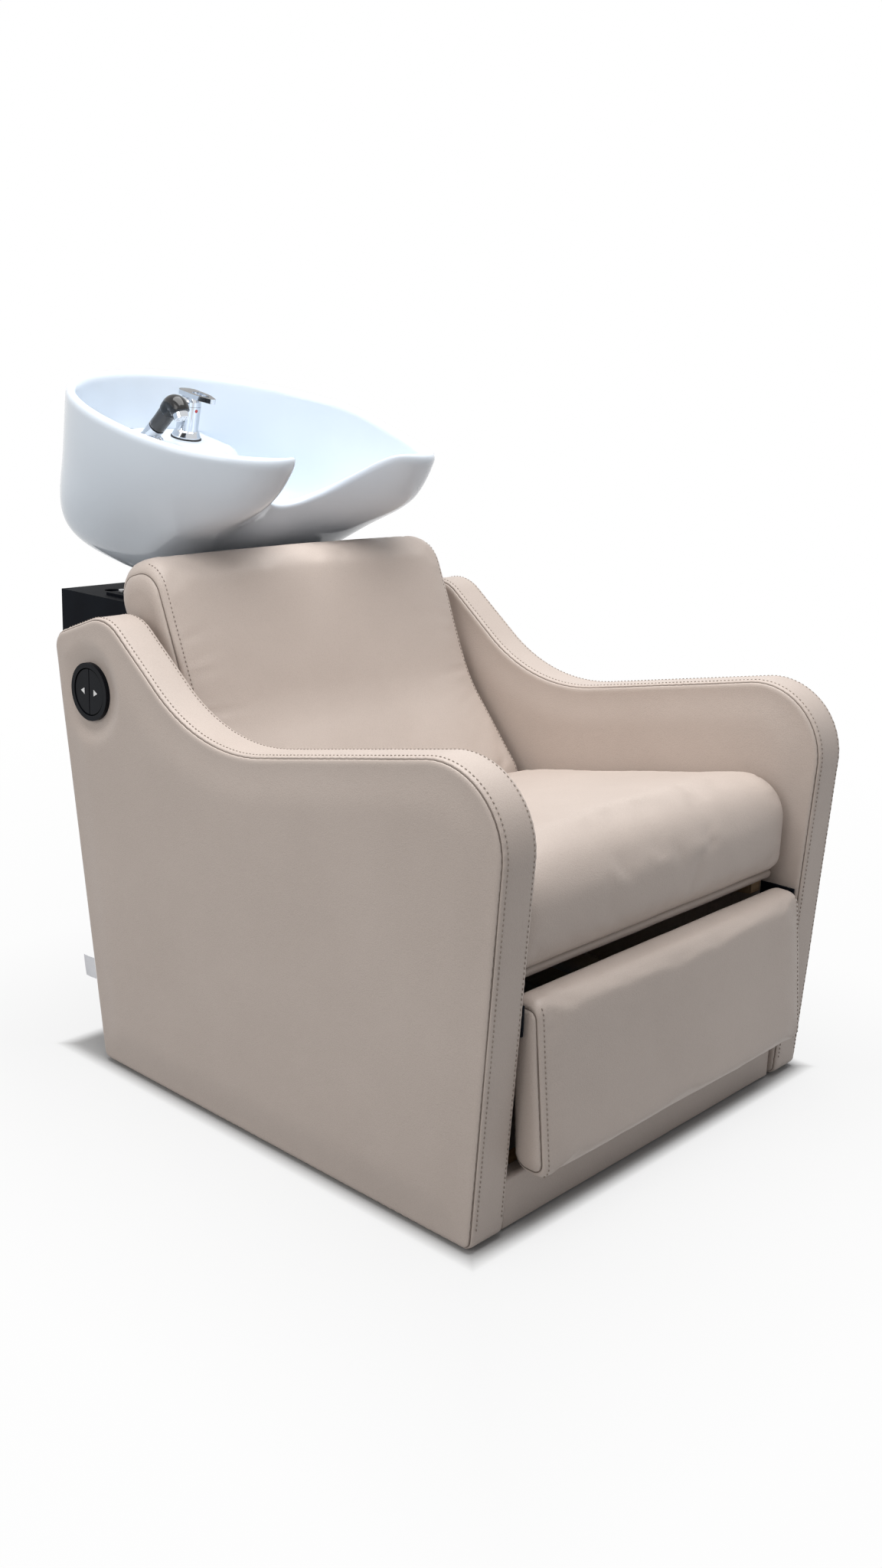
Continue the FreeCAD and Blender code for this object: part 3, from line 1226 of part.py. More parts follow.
handle_low = S.holder_height + S.cap_fit
handle_top = handle_low + S.handle_length
spigot = turned("spigot", disc(S.spigot_radius, S.holder_height - S.spigot_length, handle_low),
                COLLAR_AT, SLANT)
handle_profile = [(0, handle_low), (S.holder_collar_radius, handle_low),
                  (S.handle_radius, handle_top), (0, handle_top)]
handle = turned("handle", handle_profile, COLLAR_AT, SLANT)
ELBOW_AT = COLLAR_AT + ALONG * handle_top
elbow = doc.addObject("Part::Sphere", "elbow")
bind(elbow, Radius="elbow_radius")
elbow.Placement.Base = ELBOW_AT
DOWN = FreeCAD.Rotation(V(1, 0, 0), 180 - S.head_tilt_angle)
head = turned("head", disc(S.head_radius, 0, S.head_length), ELBOW_AT, DOWN)
keep(fuse("handset", spigot, handle, elbow, head), "handset_body")
NOZZLE_END = S.head_length + S.nozzle_length
nozzle = turned("nozzle", disc(S.nozzle_radius, S.head_length, NOZZLE_END), ELBOW_AT, DOWN)
JET_COUNT = 8
jets = []
for number in range(JET_COUNT):
    turn = 2 * math.pi * number / JET_COUNT
    spot = V(math.cos(turn), math.sin(turn), 0) * S.jet_circle
    jet_profile = disc(S.jet_radius, S.head_length + S.nozzle_length / 2, NOZZLE_END + S.overrun)
    jets.append(turned("jet", jet_profile, ELBOW_AT + DOWN.multVec(spot), DOWN))
keep(cut("nozzle", nozzle, *jets), "handset_nozzle")

# Check every object, then write each sub-part
os.makedirs("parts", exist_ok=True)
doc.recompute()
bad = [item.Name for item in doc.Objects if "Invalid" in item.State or "Error" in item.State]
bad += [item.Label for item in NODES if item.Shape.isNull() or not item.Shape.isValid()]
if bad:
    raise RuntimeError("failed: " + ", ".join(bad))
for item in NODES:
    item.Shape.exportStep("parts/%s.step" % item.Label)
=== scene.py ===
import json
import math

import bmesh
import bpy
import numpy as np
from mathutils import Matrix, Vector, noise
from mathutils.geometry import delaunay_2d_cdt


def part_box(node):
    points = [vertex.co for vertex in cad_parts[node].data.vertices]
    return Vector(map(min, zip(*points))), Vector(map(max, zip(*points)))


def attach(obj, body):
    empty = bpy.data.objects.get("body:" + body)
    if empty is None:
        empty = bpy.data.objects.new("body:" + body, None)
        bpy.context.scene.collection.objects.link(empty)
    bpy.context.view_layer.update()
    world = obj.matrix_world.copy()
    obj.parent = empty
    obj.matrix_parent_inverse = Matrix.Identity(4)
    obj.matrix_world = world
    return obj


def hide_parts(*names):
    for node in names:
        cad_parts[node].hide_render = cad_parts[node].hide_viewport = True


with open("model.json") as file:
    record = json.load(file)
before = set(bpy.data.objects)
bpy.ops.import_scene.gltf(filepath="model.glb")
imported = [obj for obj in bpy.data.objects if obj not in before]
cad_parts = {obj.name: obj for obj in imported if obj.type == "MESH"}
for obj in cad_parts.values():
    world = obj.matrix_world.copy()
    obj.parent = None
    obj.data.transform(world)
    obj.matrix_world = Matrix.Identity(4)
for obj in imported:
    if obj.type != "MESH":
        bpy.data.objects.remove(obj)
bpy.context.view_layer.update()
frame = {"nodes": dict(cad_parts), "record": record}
NODES = frame["nodes"]

# Electric shampoo unit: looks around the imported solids, in metres.
# Places along Y are measured behind the arm panels' front foot, as in the solids.

KICK_PLACE = 0.007
FRONT_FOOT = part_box("kick_panel")[0].y - KICK_PLACE
ARM_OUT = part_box("left_arm_panel")[1].x
ARM_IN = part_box("left_arm_panel")[0].x
FLOOR_GAP = 0.003

# Arm panels
ARM_POINTS = [(0, FLOOR_GAP), (-0.025, 0.571), (0.463, 0.473), (0.653, 0.620), (0.766, 0.579), (0.672, FLOOR_GAP)]
ARM_RADII = [0.013, 0.095, 0.240, 0.060, 0.025, 0.013]
ARM_EDGE = 0.009
ARM_TUCK = 0.003
ARM_BULGE = 0.005
ARM_REACH = 0.050
SWITCH = (0.684, 0.514)
SWITCH_WELL = 0.0335
SWITCH_SINK = 0.007
DIP_FLAT = 0.040
DIP_REACH = 0.072
DIP_FADE = 0.018
WELL_DEPTH = 0.028
WELL_SIDES = 48
DIP_RING_STEP = 0.004
DIP_MARGIN = 0.002
# Seat
SEAT_HALF = 0.280
SEAT_FRONT = 0.010
SEAT_REAR = 0.452
SEAT_TOP = 0.441
SEAT_BASE = 0.304
SEAT_SLOPE = 0.2
SEAT_BASE_SLOPE = 0.1
SEAT_RADII = [0.026, 0.055, 0.014, 0.014]
SEAT_CROWN = 0.009
SEAT_SWELL = 0.005
SEAT_EDGE = 0.024
APRON_FRONT = 0.028
APRON_REAR = 0.046
APRON_GAP = 0.0004
APRON_THICKNESS = 0.014
# Back
BACK_HALF = 0.272
BACK_POINTS = [(0.457, 0.232), (0.457, 0.352), (0.566, 0.478), (0.657, 0.688), (0.744, 0.662), (0.658, 0.478),
               (0.549, 0.232)]
BACK_RADII = [0.014, 0.056, 0.220, 0.042, 0.036, 0.220, 0.014]
BACK_CROWN = 0.009
BACK_SWELL = 0.004
BACK_EDGE = 0.020
BACK_CORNER = 0.036
BACK_STITCH = 0.0145
# Footrest
PAD_HALF = 0.278
PAD_POINTS = [(-0.043, 0.076), (-0.019, 0.284), (0.021, 0.284), (0.003, 0.076)]
PAD_RADII = [0.0155, 0.0155, 0.012, 0.022]
PAD_CROWN = 0.003
PAD_SWELL = 0.004
PAD_EDGE = 0.0125
PAD_CORNER = 0.020
PAD_STITCH = 0.0115
# Kick panel and rear panel
KICK_REAR = 0.027
KICK_TOP = 0.068
REAR_LEAN = (ARM_POINTS[4][0] - ARM_POINTS[5][0]) / (ARM_POINTS[4][1] - FLOOR_GAP)
REAR_INSET = 0.008
REAR_THICKNESS = 0.015
REAR_TOP = 0.556
# Sewing
GROOVE = 0.0018
# Radius of the dark tube laid in each seam groove as painted shade
SEAM_SHADE_RADIUS = 0.0008
STITCH_PLACE = 0.0088
STITCH_PITCH = 0.0060
STITCH_LENGTH = 0.0031
STITCH_RADIUS = 0.00070
PUCKER = 0.00035
PUCKER_PITCH = 2 * STITCH_PITCH
THREAD_SIDES = 6
# Basin
BASIN_FRONT = 0.539
BASIN_REAR = 1.0365
BASIN_LENGTH = BASIN_REAR - BASIN_FRONT
TIP_HEIGHT = 0.812
RIM_SLOPE = 0.2
RIM_UP = Vector((0, -RIM_SLOPE, 1)).normalized()
BASIN_HALF = 0.254
TIP_HALF = 0.128
BASIN_DEPTH = 0.236
BASIN_WALL = 0.016
BOWL_FLOOR = 0.018
NECK_NOTCH = 0.104
NECK_HEIGHT = 0.738
NECK_RADIUS = 0.080
LEDGE_DEPTH = 0.085
LEDGE_FRONT = 0.900
LEDGE_BLEND = 0.034
LEDGE_HALF = 0.080
LEDGE_FADE = 0.085
DRAIN_PLACE = 0.848
DRAIN_RADIUS = 0.026
LIP_DROP = 0.011
RIM_DIP = 0.012


# Small helpers

def at(x, place, z):
    return Vector((x, FRONT_FOOT + place, z))


def smooth(t):
    t = np.clip(t, 0, 1)
    return t * t * (3 - 2 * t)


def mesh_object(name, verts, faces, material, merge=1e-6):
    mesh = bpy.data.meshes.new(name)
    mesh.from_pydata([tuple(map(float, v)) for v in verts], [], [tuple(map(int, f)) for f in faces])
    work = bmesh.new()
    work.from_mesh(mesh)
    if merge:
        bmesh.ops.remove_doubles(work, verts=work.verts, dist=merge)
    bmesh.ops.recalc_face_normals(work, faces=work.faces)
    work.to_mesh(mesh)
    work.free()
    mesh.polygons.foreach_set("use_smooth", [True] * len(mesh.polygons))
    mesh.materials.append(material)
    piece = bpy.data.objects.new(name, mesh)
    bpy.context.scene.collection.objects.link(piece)
    return piece


# Materials

def material(name, **values):
    made = bpy.data.materials.new(name)
    made.use_nodes = True
    shader = made.node_tree.nodes["Principled BSDF"]
    for socket, value in values.items():
        shader.inputs[socket.replace("_", " ")].default_value = value
    return made, made.node_tree, shader


def node(tree, kind, links=(), **values):
    made = tree.nodes.new(kind)
    for key, value in values.items():
        if key in made.inputs:
            made.inputs[key].default_value = value
        else:
            setattr(made, key, value)
    for socket, source in dict(links).items():
        tree.links.new(source, made.inputs[socket])
    return made


def place_of(tree):
    return node(tree, "ShaderNodeTexCoord").outputs["Object"]


def ramp(tree, source, stops):
    made = node(tree, "ShaderNodeValToRGB", {"Fac": source})
    for _ in stops[2:]:
        made.color_ramp.elements.new(1.0)
    for stop, (position, colour) in zip(made.color_ramp.elements, stops):
        stop.position = position
        stop.color = (*colour, 1)
    return made.outputs["Color"]


def spread(tree, source, low, high):
    return node(tree, "ShaderNodeMapRange", {"Value": source}, **{"To Min": low, "To Max": high}).outputs["Result"]


LEATHER_COLOUR = (0.556, 0.478, 0.429)
LEATHER_DARK = (0.514, 0.439, 0.392)


def leather():
    made, tree, shader = material("leather", Roughness=0.45, IOR=1.45, Sheen_Weight=0.08, Sheen_Roughness=0.4)
    where = place_of(tree)
    cloud = node(tree, "ShaderNodeTexNoise", {"Vector": where}, Scale=5.0, Detail=4.0, Roughness=0.6)
    pebble = node(tree, "ShaderNodeTexVoronoi", {"Vector": where}, Scale=720.0, feature="SMOOTH_F1", Smoothness=0.6)
    grain = node(tree, "ShaderNodeTexNoise", {"Vector": where}, Scale=310.0, Detail=6.0, Roughness=0.65)
    crease = node(tree, "ShaderNodeTexVoronoi", {"Vector": where}, Scale=85.0, feature="DISTANCE_TO_EDGE")
    warped = node(tree, "ShaderNodeTexNoise", {"Vector": where}, Scale=38.0, Detail=5.0, Roughness=0.7, Distortion=1.6)
    base = ramp(tree, cloud.outputs["Fac"], [(0.28, LEATHER_DARK), (0.72, LEATHER_COLOUR)])
    pits = ramp(tree, pebble.outputs["Distance"], [(0.10, (1, 1, 1)), (0.85, (0.90, 0.89, 0.88))])
    tint = node(tree, "ShaderNodeMix", data_type="RGBA", blend_type="MULTIPLY")
    tint.inputs["Factor"].default_value = 0.7
    tree.links.new(base, tint.inputs["A"])
    tree.links.new(pits, tint.inputs["B"])
    tree.links.new(tint.outputs["Result"], shader.inputs["Base Color"])
    tree.links.new(spread(tree, grain.outputs["Fac"], 0.40, 0.56), shader.inputs["Roughness"])
    lines = node(tree, "ShaderNodeMath", {0: crease.outputs["Distance"]}, operation="MINIMUM")
    lines.inputs[1].default_value = 0.05
    first = node(tree, "ShaderNodeBump", {"Height": pebble.outputs["Distance"]}, invert=True, Strength=0.35,
                 Distance=0.0004)
    second = node(tree, "ShaderNodeBump", {"Height": grain.outputs["Fac"], "Normal": first.outputs["Normal"]},
                  Strength=0.30, Distance=0.0005)
    third = node(tree, "ShaderNodeBump", {"Height": lines.outputs["Value"], "Normal": second.outputs["Normal"]},
                 Strength=0.12, Distance=0.002)
    fourth = node(tree, "ShaderNodeBump", {"Height": warped.outputs["Fac"], "Normal": third.outputs["Normal"]},
                  Strength=0.10, Distance=0.002)
    tree.links.new(fourth.outputs["Normal"], shader.inputs["Normal"])
    return made


def flecked(name, colour, dark, roughness, scale, bump, **values):
    """Finish with fine colour and roughness variation and a fine bump."""
    made, tree, shader = material(name, **values)
    where = place_of(tree)
    speckle = node(tree, "ShaderNodeTexNoise", {"Vector": where}, Scale=scale, Detail=5.0, Roughness=0.6)
    cloud = node(tree, "ShaderNodeTexNoise", {"Vector": where}, Scale=scale / 40, Detail=3.0)
    tree.links.new(ramp(tree, cloud.outputs["Fac"], [(0.3, dark), (0.7, colour)]), shader.inputs["Base Color"])
    tree.links.new(spread(tree, speckle.outputs["Fac"], *roughness), shader.inputs["Roughness"])
    relief = node(tree, "ShaderNodeBump", {"Height": speckle.outputs["Fac"]}, Strength=bump, Distance=0.0004)
    tree.links.new(relief.outputs["Normal"], shader.inputs["Normal"])
    return made


def timber():
    made, tree, shader = material("timber")
    where = node(tree, "ShaderNodeMapping", {"Vector": place_of(tree)}, Scale=(3.0, 60.0, 60.0))
    rings = node(tree, "ShaderNodeTexNoise", {"Vector": where.outputs["Vector"]}, Scale=2.0, Detail=6.0, Roughness=0.6,
                 Distortion=0.8)
    tree.links.new(ramp(tree, rings.outputs["Fac"], [(0.3, (0.36, 0.22, 0.11)), (0.7, (0.60, 0.43, 0.26))]),
                   shader.inputs["Base Color"])
    tree.links.new(spread(tree, rings.outputs["Fac"], 0.55, 0.75), shader.inputs["Roughness"])
    relief = node(tree, "ShaderNodeBump", {"Height": rings.outputs["Fac"]}, Strength=0.2, Distance=0.0006)
    tree.links.new(relief.outputs["Normal"], shader.inputs["Normal"])
    return made


MATERIALS = {
    "leather": leather(),
    "timber": timber(),
    "black_steel": flecked("black_steel", (0.007, 0.009, 0.013), (0.005, 0.006, 0.009), (0.55, 0.70), 900.0, 0.25,
                           Specular_IOR_Level=0.05),
    "steel": flecked("steel", (0.55, 0.55, 0.56), (0.46, 0.46, 0.47), (0.26, 0.42), 700.0, 0.1, Metallic=1.0),
    "alloy": flecked("alloy", (0.72, 0.72, 0.74), (0.66, 0.66, 0.68), (0.28, 0.40), 800.0, 0.1, Metallic=1.0),
    "black_plastic": flecked("black_plastic", (0.006, 0.007, 0.010), (0.004, 0.005, 0.007), (0.30, 0.42), 1400.0, 0.12,
                             Specular_IOR_Level=0.08),
    "handset_black": flecked("handset_black", (0.012, 0.012, 0.012), (0.008, 0.008, 0.008), (0.10, 0.18), 500.0, 0.03),
    "ceramic": flecked("ceramic", (0.73, 0.80, 0.88), (0.72, 0.79, 0.87), (0.10, 0.15), 60.0, 0.01,
                       IOR=1.48, Specular_IOR_Level=0.4),
    "chrome": flecked("chrome", (0.66, 0.68, 0.71), (0.58, 0.60, 0.63), (0.03, 0.09), 240.0, 0.01, Metallic=1.0),
    "rubber": flecked("rubber", (0.016, 0.016, 0.016), (0.011, 0.011, 0.011), (0.55, 0.75), 900.0, 0.2),
    "red": flecked("red", (0.62, 0.03, 0.02), (0.50, 0.02, 0.015), (0.12, 0.2), 600.0, 0.03),
}
# Dark colour of the tubes in the seam grooves: painted shade of the grooves' shadow lines
SEAM_SHADE = flecked("seam", (0.200, 0.160, 0.135), (0.150, 0.120, 0.100), (0.6, 0.8), 2000.0, 0.3)
THREAD = flecked("thread", (0.30, 0.25, 0.21), (0.23, 0.19, 0.16), (0.6, 0.8), 2400.0, 0.5)
WHITE_PRINT = flecked("white_print", (0.80, 0.80, 0.80), (0.74, 0.74, 0.74), (0.4, 0.55), 1500.0, 0.1)
TAG_CLOTH = flecked("tag_cloth", (0.80, 0.81, 0.84), (0.74, 0.75, 0.79), (0.7, 0.85), 1800.0, 0.4)

HANDLE_GREY = flecked("handle_grey", (0.050, 0.046, 0.044), (0.038, 0.035, 0.033), (0.20, 0.30), 500.0, 0.03)


def lever_finish():
    """Chrome with a black inlay on the faces that look up, square to the rim."""
    made, tree, shader = material("lever_finish")
    facing = node(tree, "ShaderNodeVectorMath", {0: node(tree, "ShaderNodeTexCoord").outputs["Normal"]},
                  operation="DOT_PRODUCT")
    facing.inputs[1].default_value = RIM_UP
    inlay = node(tree, "ShaderNodeMath", {0: facing.outputs["Value"]}, operation="GREATER_THAN")
    inlay.inputs[1].default_value = 0.9
    speckle = node(tree, "ShaderNodeTexNoise", {"Vector": place_of(tree)}, Scale=400.0, Detail=4.0)
    tree.links.new(ramp(tree, inlay.outputs["Value"], [(0.4, (0.68, 0.70, 0.73)), (0.6, (0.010, 0.010, 0.011))]),
                   shader.inputs["Base Color"])
    tree.links.new(spread(tree, inlay.outputs["Value"], 1.0, 0.0), shader.inputs["Metallic"])
    tree.links.new(spread(tree, speckle.outputs["Fac"], 0.06, 0.14), shader.inputs["Roughness"])
    return made


for row in frame["record"]["subparts"]:
    solid = NODES[row["node"]]
    solid.data.materials.clear()
    solid.data.materials.append(MATERIALS[row["material_slot"]])
NODES["mixer_lever"].data.materials[0] = lever_finish()


# Side outlines with round corners, as (place, height)

def corner_arcs(points, radii):
    count = len(points)
    arcs = []
    for i in range(count):
        before, here, after = (np.array(points[j % count], float) for j in (i - 1, i, i + 1))
        back = (before - here) / np.linalg.norm(before - here)
        ahead = (after - here) / np.linalg.norm(after - here)
        half = math.acos(np.clip(back @ ahead, -1, 1)) / 2
        middle = back + ahead
        centre = here + middle / np.linalg.norm(middle) * radii[i] / math.sin(half)
        reach = radii[i] / math.tan(half)
        arcs.append((here + back * reach, centre, here + ahead * reach))
    return arcs


def arc_turn(start, centre, end):
    first = math.atan2(start[1] - centre[1], start[0] - centre[0])
    last = math.atan2(end[1] - centre[1], end[0] - centre[0])
    return first, (last - first + math.pi) % (2 * math.pi) - math.pi


def sampling(points, radii, step):
    """How many points each corner and each straight side gets."""
    arcs = corner_arcs(points, radii)
    counts = []
    for i, (start, centre, end) in enumerate(arcs):
        turn = abs(arc_turn(start, centre, end)[1])
        run = np.linalg.norm(arcs[(i + 1) % len(arcs)][0] - end)
        counts.append((max(5, math.ceil(turn * radii[i] / step)), max(1, math.ceil(run / step))))
    return counts


def trace(points, radii, counts):
    arcs = corner_arcs(points, radii)
    out = []
    for i, (start, centre, end) in enumerate(arcs):
        first, turn = arc_turn(start, centre, end)
        for k in range(counts[i][0]):
            angle = first + turn * k / counts[i][0]
            out.append(centre + radii[i] * np.array([math.cos(angle), math.sin(angle)]))
        after = arcs[(i + 1) % len(arcs)][0]
        for k in range(counts[i][1]):
            out.append(end + (after - end) * k / counts[i][1])
    return np.array(out)


def outward(loop):
    """Unit normals of a closed outline, pointing out."""
    along = np.roll(loop, -1, 0) - np.roll(loop, 1, 0)
    along /= np.linalg.norm(along, axis=1)[:, None]
    area = np.sum(loop[:, 0] * np.roll(loop[:, 1], -1) - np.roll(loop[:, 0], -1) * loop[:, 1])
    side = 1 if area > 0 else -1
    return np.stack([along[:, 1], -along[:, 0]], 1) * side


def distance_to(loop, spots):
    """Distance from each spot to a closed outline."""
    start = loop[None]
    run = np.roll(loop, -1, 0)[None] - start
    share = np.clip(((spots[:, None] - start) * run).sum(2) / (run * run).sum(2), 0, 1)
    return np.linalg.norm(spots[:, None] - start - run * share[..., None], axis=2).min(1)


def inside(loop, spots):
    first, second = loop, np.roll(loop, -1, 0)
    y, z = spots[:, 0:1], spots[:, 1:2]
    crosses = (first[:, 1] > z) != (second[:, 1] > z)
    rise = np.where(second[:, 1] == first[:, 1], 1e-12, second[:, 1] - first[:, 1])
    meet = first[:, 0] + (z - first[:, 1]) / rise * (second[:, 0] - first[:, 0])
    return (np.sum(crosses & (y < meet), axis=1) % 2).astype(bool)


# Upholstered forms

EDGE_TURNS = (90, 74, 60, 52, 48, 45, 42, 38, 30, 16, 0)
GROOVE_SHARES = {52: 0.12, 48: 0.6, 45: 1.0, 42: 0.6, 38: 0.12}
CAP_RINGS = (0.003,)
CAP_STEP = 0.010
CORNER_SHARE = 0.9
BAND_STEP = 0.009
CUSHION_STEP = 0.006
PAD_STEP = 0.005
CLOTH_FRAMES = 20
CLOTH_PRESSURE = 4.0
CLOTH_SLACK = -0.006


def edge_columns(edge):
    """Distance from the side face and inset from the outline, from the side face round to the band."""
    columns = []
    for turn in EDGE_TURNS:
        angle = math.radians(turn)
        push = GROOVE * GROOVE_SHARES.get(turn, 0) * math.sqrt(0.5)
        columns.append((edge * (1 - math.sin(angle)) + push, edge * (1 - math.cos(angle)) + push))
    return columns


def side_face(loop, edge, plane, out, bulge, reach, sink=None):
    """Points and faces of one side face, from its outer ring inwards. out is -1 or 1 along X."""
    normals = outward(loop)
    rings = [loop - normals * (edge + extra) for extra in (0, *CAP_RINGS)]
    flat = [tuple(p) for ring in rings for p in ring]
    count = len(loop)
    faces = []
    for k in range(len(rings) - 1):
        for i in range(count):
            j = (i + 1) % count
            faces.append((k * count + i, k * count + j, (k + 1) * count + j, (k + 1) * count + i))
    inner = rings[-1]
    low, high = inner.min(0), inner.max(0)
    grid = np.array([(y, z) for y in np.arange(low[0], high[0], CAP_STEP)
                     for z in np.arange(low[1], high[1], CAP_STEP)])
    grid = grid[inside(inner, grid)]
    grid = grid[distance_to(inner, grid) > CAP_STEP * 0.5]
    hole = []
    if sink:
        centre = np.array(SWITCH)
        grid = grid[np.linalg.norm(grid - centre, axis=1) > DIP_REACH]
        turns = np.linspace(0, 2 * math.pi, WELL_SIDES, endpoint=False)
        circle = np.stack([np.cos(turns), np.sin(turns)], 1)
        radii = [SWITCH_WELL] + list(np.arange(DIP_FLAT - DIP_MARGIN, DIP_REACH, DIP_RING_STEP))
        hole = [centre + circle * r for r in radii]
        dip_spots = np.concatenate(hole[1:])
        dip_spots = dip_spots[inside(inner, dip_spots)]
        grid = np.concatenate([grid, dip_spots[distance_to(inner, dip_spots) > DIP_MARGIN]])
    spots = [Vector(p) for p in inner] + [Vector(p) for p in grid]
    edges = [(i, (i + 1) % count) for i in range(count)]
    if sink:
        base = len(spots)
        spots += [Vector(p) for p in hole[0]]
        edges += [(base + i, base + (i + 1) % WELL_SIDES) for i in range(WELL_SIDES)]
    found = delaunay_2d_cdt(spots, edges, [], 1, 1e-7)
    base = len(flat)
    flat += [tuple(p) for p in found[0]]
    for face in found[2]:
        middle = sum((found[0][i] for i in face), Vector((0, 0))) / len(face)
        if not sink or (middle - Vector(SWITCH)).length > SWITCH_WELL * 0.999:
            faces.append(tuple(base + i for i in face))
    flat = np.array(flat)
    depth = distance_to(loop, flat) - edge
    x = plane + out * bulge * smooth(depth / reach)
    if sink:
        away = np.linalg.norm(flat - np.array(SWITCH), axis=1)
        dipped = (1 - smooth((away - DIP_FLAT) / (DIP_REACH - DIP_FLAT))) * smooth(depth / DIP_FADE)
        x = x * (1 - dipped) + (plane - out * sink) * dipped
    points = [(px, FRONT_FOOT + p[0], p[1]) for px, p in zip(x, flat)]
    if sink:
        bottom = len(points)
        mouth_x = plane - out * sink
        for depth_x in (mouth_x, mouth_x - out * WELL_DEPTH):
            points += [(depth_x, FRONT_FOOT + p[0], p[1]) for p in hole[0]]
        floor_start = bottom + WELL_SIDES
        for i in range(WELL_SIDES):
            j = (i + 1) % WELL_SIDES
            faces.append((bottom + i, bottom + j, floor_start + j, floor_start + i))
        faces.append(tuple(range(floor_start, floor_start + WELL_SIDES)))
    return points, faces


def puckers(loop, from_side):
    """Small gathers of the leather between a seam and its row of stitches."""
    if not 0.3 * STITCH_PLACE < from_side < STITCH_PLACE:
        return np.zeros(len(loop))
    steps = np.linalg.norm(np.roll(loop, -1, 0) - loop, axis=1)
    along = np.concatenate([[0], np.cumsum(steps)[:-1]])
    uneven = 0.6 + 0.4 * np.sin(along * 31) * np.sin(along * 13 + 1)
    return PUCKER * uneven * np.sin(2 * math.pi * along / PUCKER_PITCH)


def inset_at(edge, from_side):
    """How far the rounded edge lies inside the outline at a distance from the side face."""
    return edge - math.sqrt(edge ** 2 - max(edge - from_side, 0) ** 2)


def upholster(name, draw, low, high, edge, across, bulge, reach, sink=None, ripple=0.0004):
    """Closed padded form: a band across X between two side faces, with a sewn groove round each edge."""
    columns = edge_columns(edge)
    count = max(2, round((high - low - 2 * edge) / across))
    middle = np.linspace(low + edge, high - edge, count + 1)[1:-1]
    places = [(low + a, b) for a, b in columns] + [(x, 0) for x in middle]
    places += [(high - a, b) for a, b in reversed(columns)]
    verts = []
    for x, inset in places:
        loop = draw(x)
        loop = loop - outward(loop) * (inset - puckers(loop, min(x - low, high - x)))[:, None]
        verts += [(x, FRONT_FOOT + p[0], p[1]) for p in loop]
    around = len(draw(low))
    faces = []
    for k in range(len(places) - 1):
        for i in range(around):
            j = (i + 1) % around
            faces.append((k * around + i, k * around + j, (k + 1) * around + j, (k + 1) * around + i))
    for plane, out in ((low, -1), (high, 1)):
        points, extra = side_face(draw(plane), edge, plane, out, bulge, reach, sink if out < 0 else None)
        base = len(verts)
        verts += points
        faces += [tuple(base + i for i in face) for face in extra]
    piece = mesh_object(name, verts, faces, MATERIALS["leather"], merge=2e-6)
    soften(piece, ripple)
    return piece


def soften(piece, amount):
    """Slow unevenness of foam under leather."""
    mesh = piece.data
    moves = []
    for vertex in mesh.vertices:
        here = Vector(vertex.co)
        wave = noise.noise(here * 9) + 0.5 * noise.noise(here * 23 + Vector((7, 3, 1)))
        moves.append(here + vertex.normal * wave * amount)
    for vertex, moved in zip(mesh.vertices, moves):
        vertex.co = moved


def inflate(piece, free, cap):
    """Cover blown up over its foam as cloth, held along its seams and where it rests, and kept near its cut."""
    scene = bpy.context.scene
    mesh = piece.data
    start = np.array([vertex.co for vertex in mesh.vertices])
    group = piece.vertex_groups.new(name="held")
    held = [vertex.index for vertex in mesh.vertices
            if not free(vertex.co.x, vertex.co.y - FRONT_FOOT, vertex.co.z, vertex.normal)]
    group.add(held, 1.0, "REPLACE")
    cloth = piece.modifiers.new("cloth", "CLOTH")
    cloth.point_cache.frame_start = 1
    cloth.point_cache.frame_end = CLOTH_FRAMES
    cloth.settings.quality = 5
    cloth.settings.use_pressure = True
    cloth.settings.uniform_pressure_force = CLOTH_PRESSURE
    cloth.settings.shrink_min = CLOTH_SLACK
    cloth.settings.vertex_group_mass = "held"
    cloth.settings.effector_weights.gravity = 0
    cloth.collision_settings.use_collision = False
    for number in range(1, CLOTH_FRAMES + 1):
        scene.frame_set(number)
    swollen = piece.evaluated_get(bpy.context.evaluated_depsgraph_get()).data
    moves = np.array([vertex.co for vertex in swollen.vertices]) - start
    piece.modifiers.remove(cloth)
    piece.vertex_groups.remove(group)
    scene.frame_set(1)
    far = np.maximum(np.linalg.norm(moves, axis=1), 1e-9)
    start += moves * (cap * np.tanh(far / cap) / far)[:, None]
    mesh.vertices.foreach_set("co", start.ravel())
    mesh.update()


def fixed_outline(points, radii, step):
    loop = trace(points, radii, sampling(points, radii, step))
    return lambda x: loop


def shaped_outline(points_at, radii, step):
    counts = sampling(points_at(0), radii, step)
    return lambda x: trace(points_at(x), radii, counts)


def crowned(x, half, crown):
    return crown * (1 - (x / half) ** 2)


def corner_drop(x, half, radius):
    """How far a rounded end corner lies below the straight edge."""
    into = max(abs(x) - half + radius, 0) * CORNER_SHARE
    return radius - math.sqrt(radius ** 2 - into ** 2)


def seams(name, draw, low, high, edge):
    """Dark tube at the bottom of the groove along both edges: painted shade standing in for the seam's shadow line, not
    thread.
    """
    verts = []
    faces = []
    sides = THREAD_SIDES
    inset = edge * (1 - math.sqrt(0.5)) + (GROOVE - SEAM_SHADE_RADIUS * 0.6) * math.sqrt(0.5)
    for plane, side in ((low, 1), (high, -1)):
        x = plane + side * inset
        loop = draw(x)
        normals = outward(loop)
        base = len(verts)
        for spot, normal in zip(loop - normals * inset, normals):
            for s in range(sides):
                across, out = (SEAM_SHADE_RADIUS * turn(2 * math.pi * s / sides) for turn in (math.cos, math.sin))
                verts.append((x + across, FRONT_FOOT + spot[0] + normal[0] * out, spot[1] + normal[1] * out))
        for i in range(len(loop)):
            j = (i + 1) % len(loop)
            for s in range(sides):
                n = (s + 1) % sides
                faces.append((base + i * sides + s, base + j * sides + s, base + j * sides + n, base + i * sides + n))
    return mesh_object(name, verts, faces, SEAM_SHADE, merge=0)


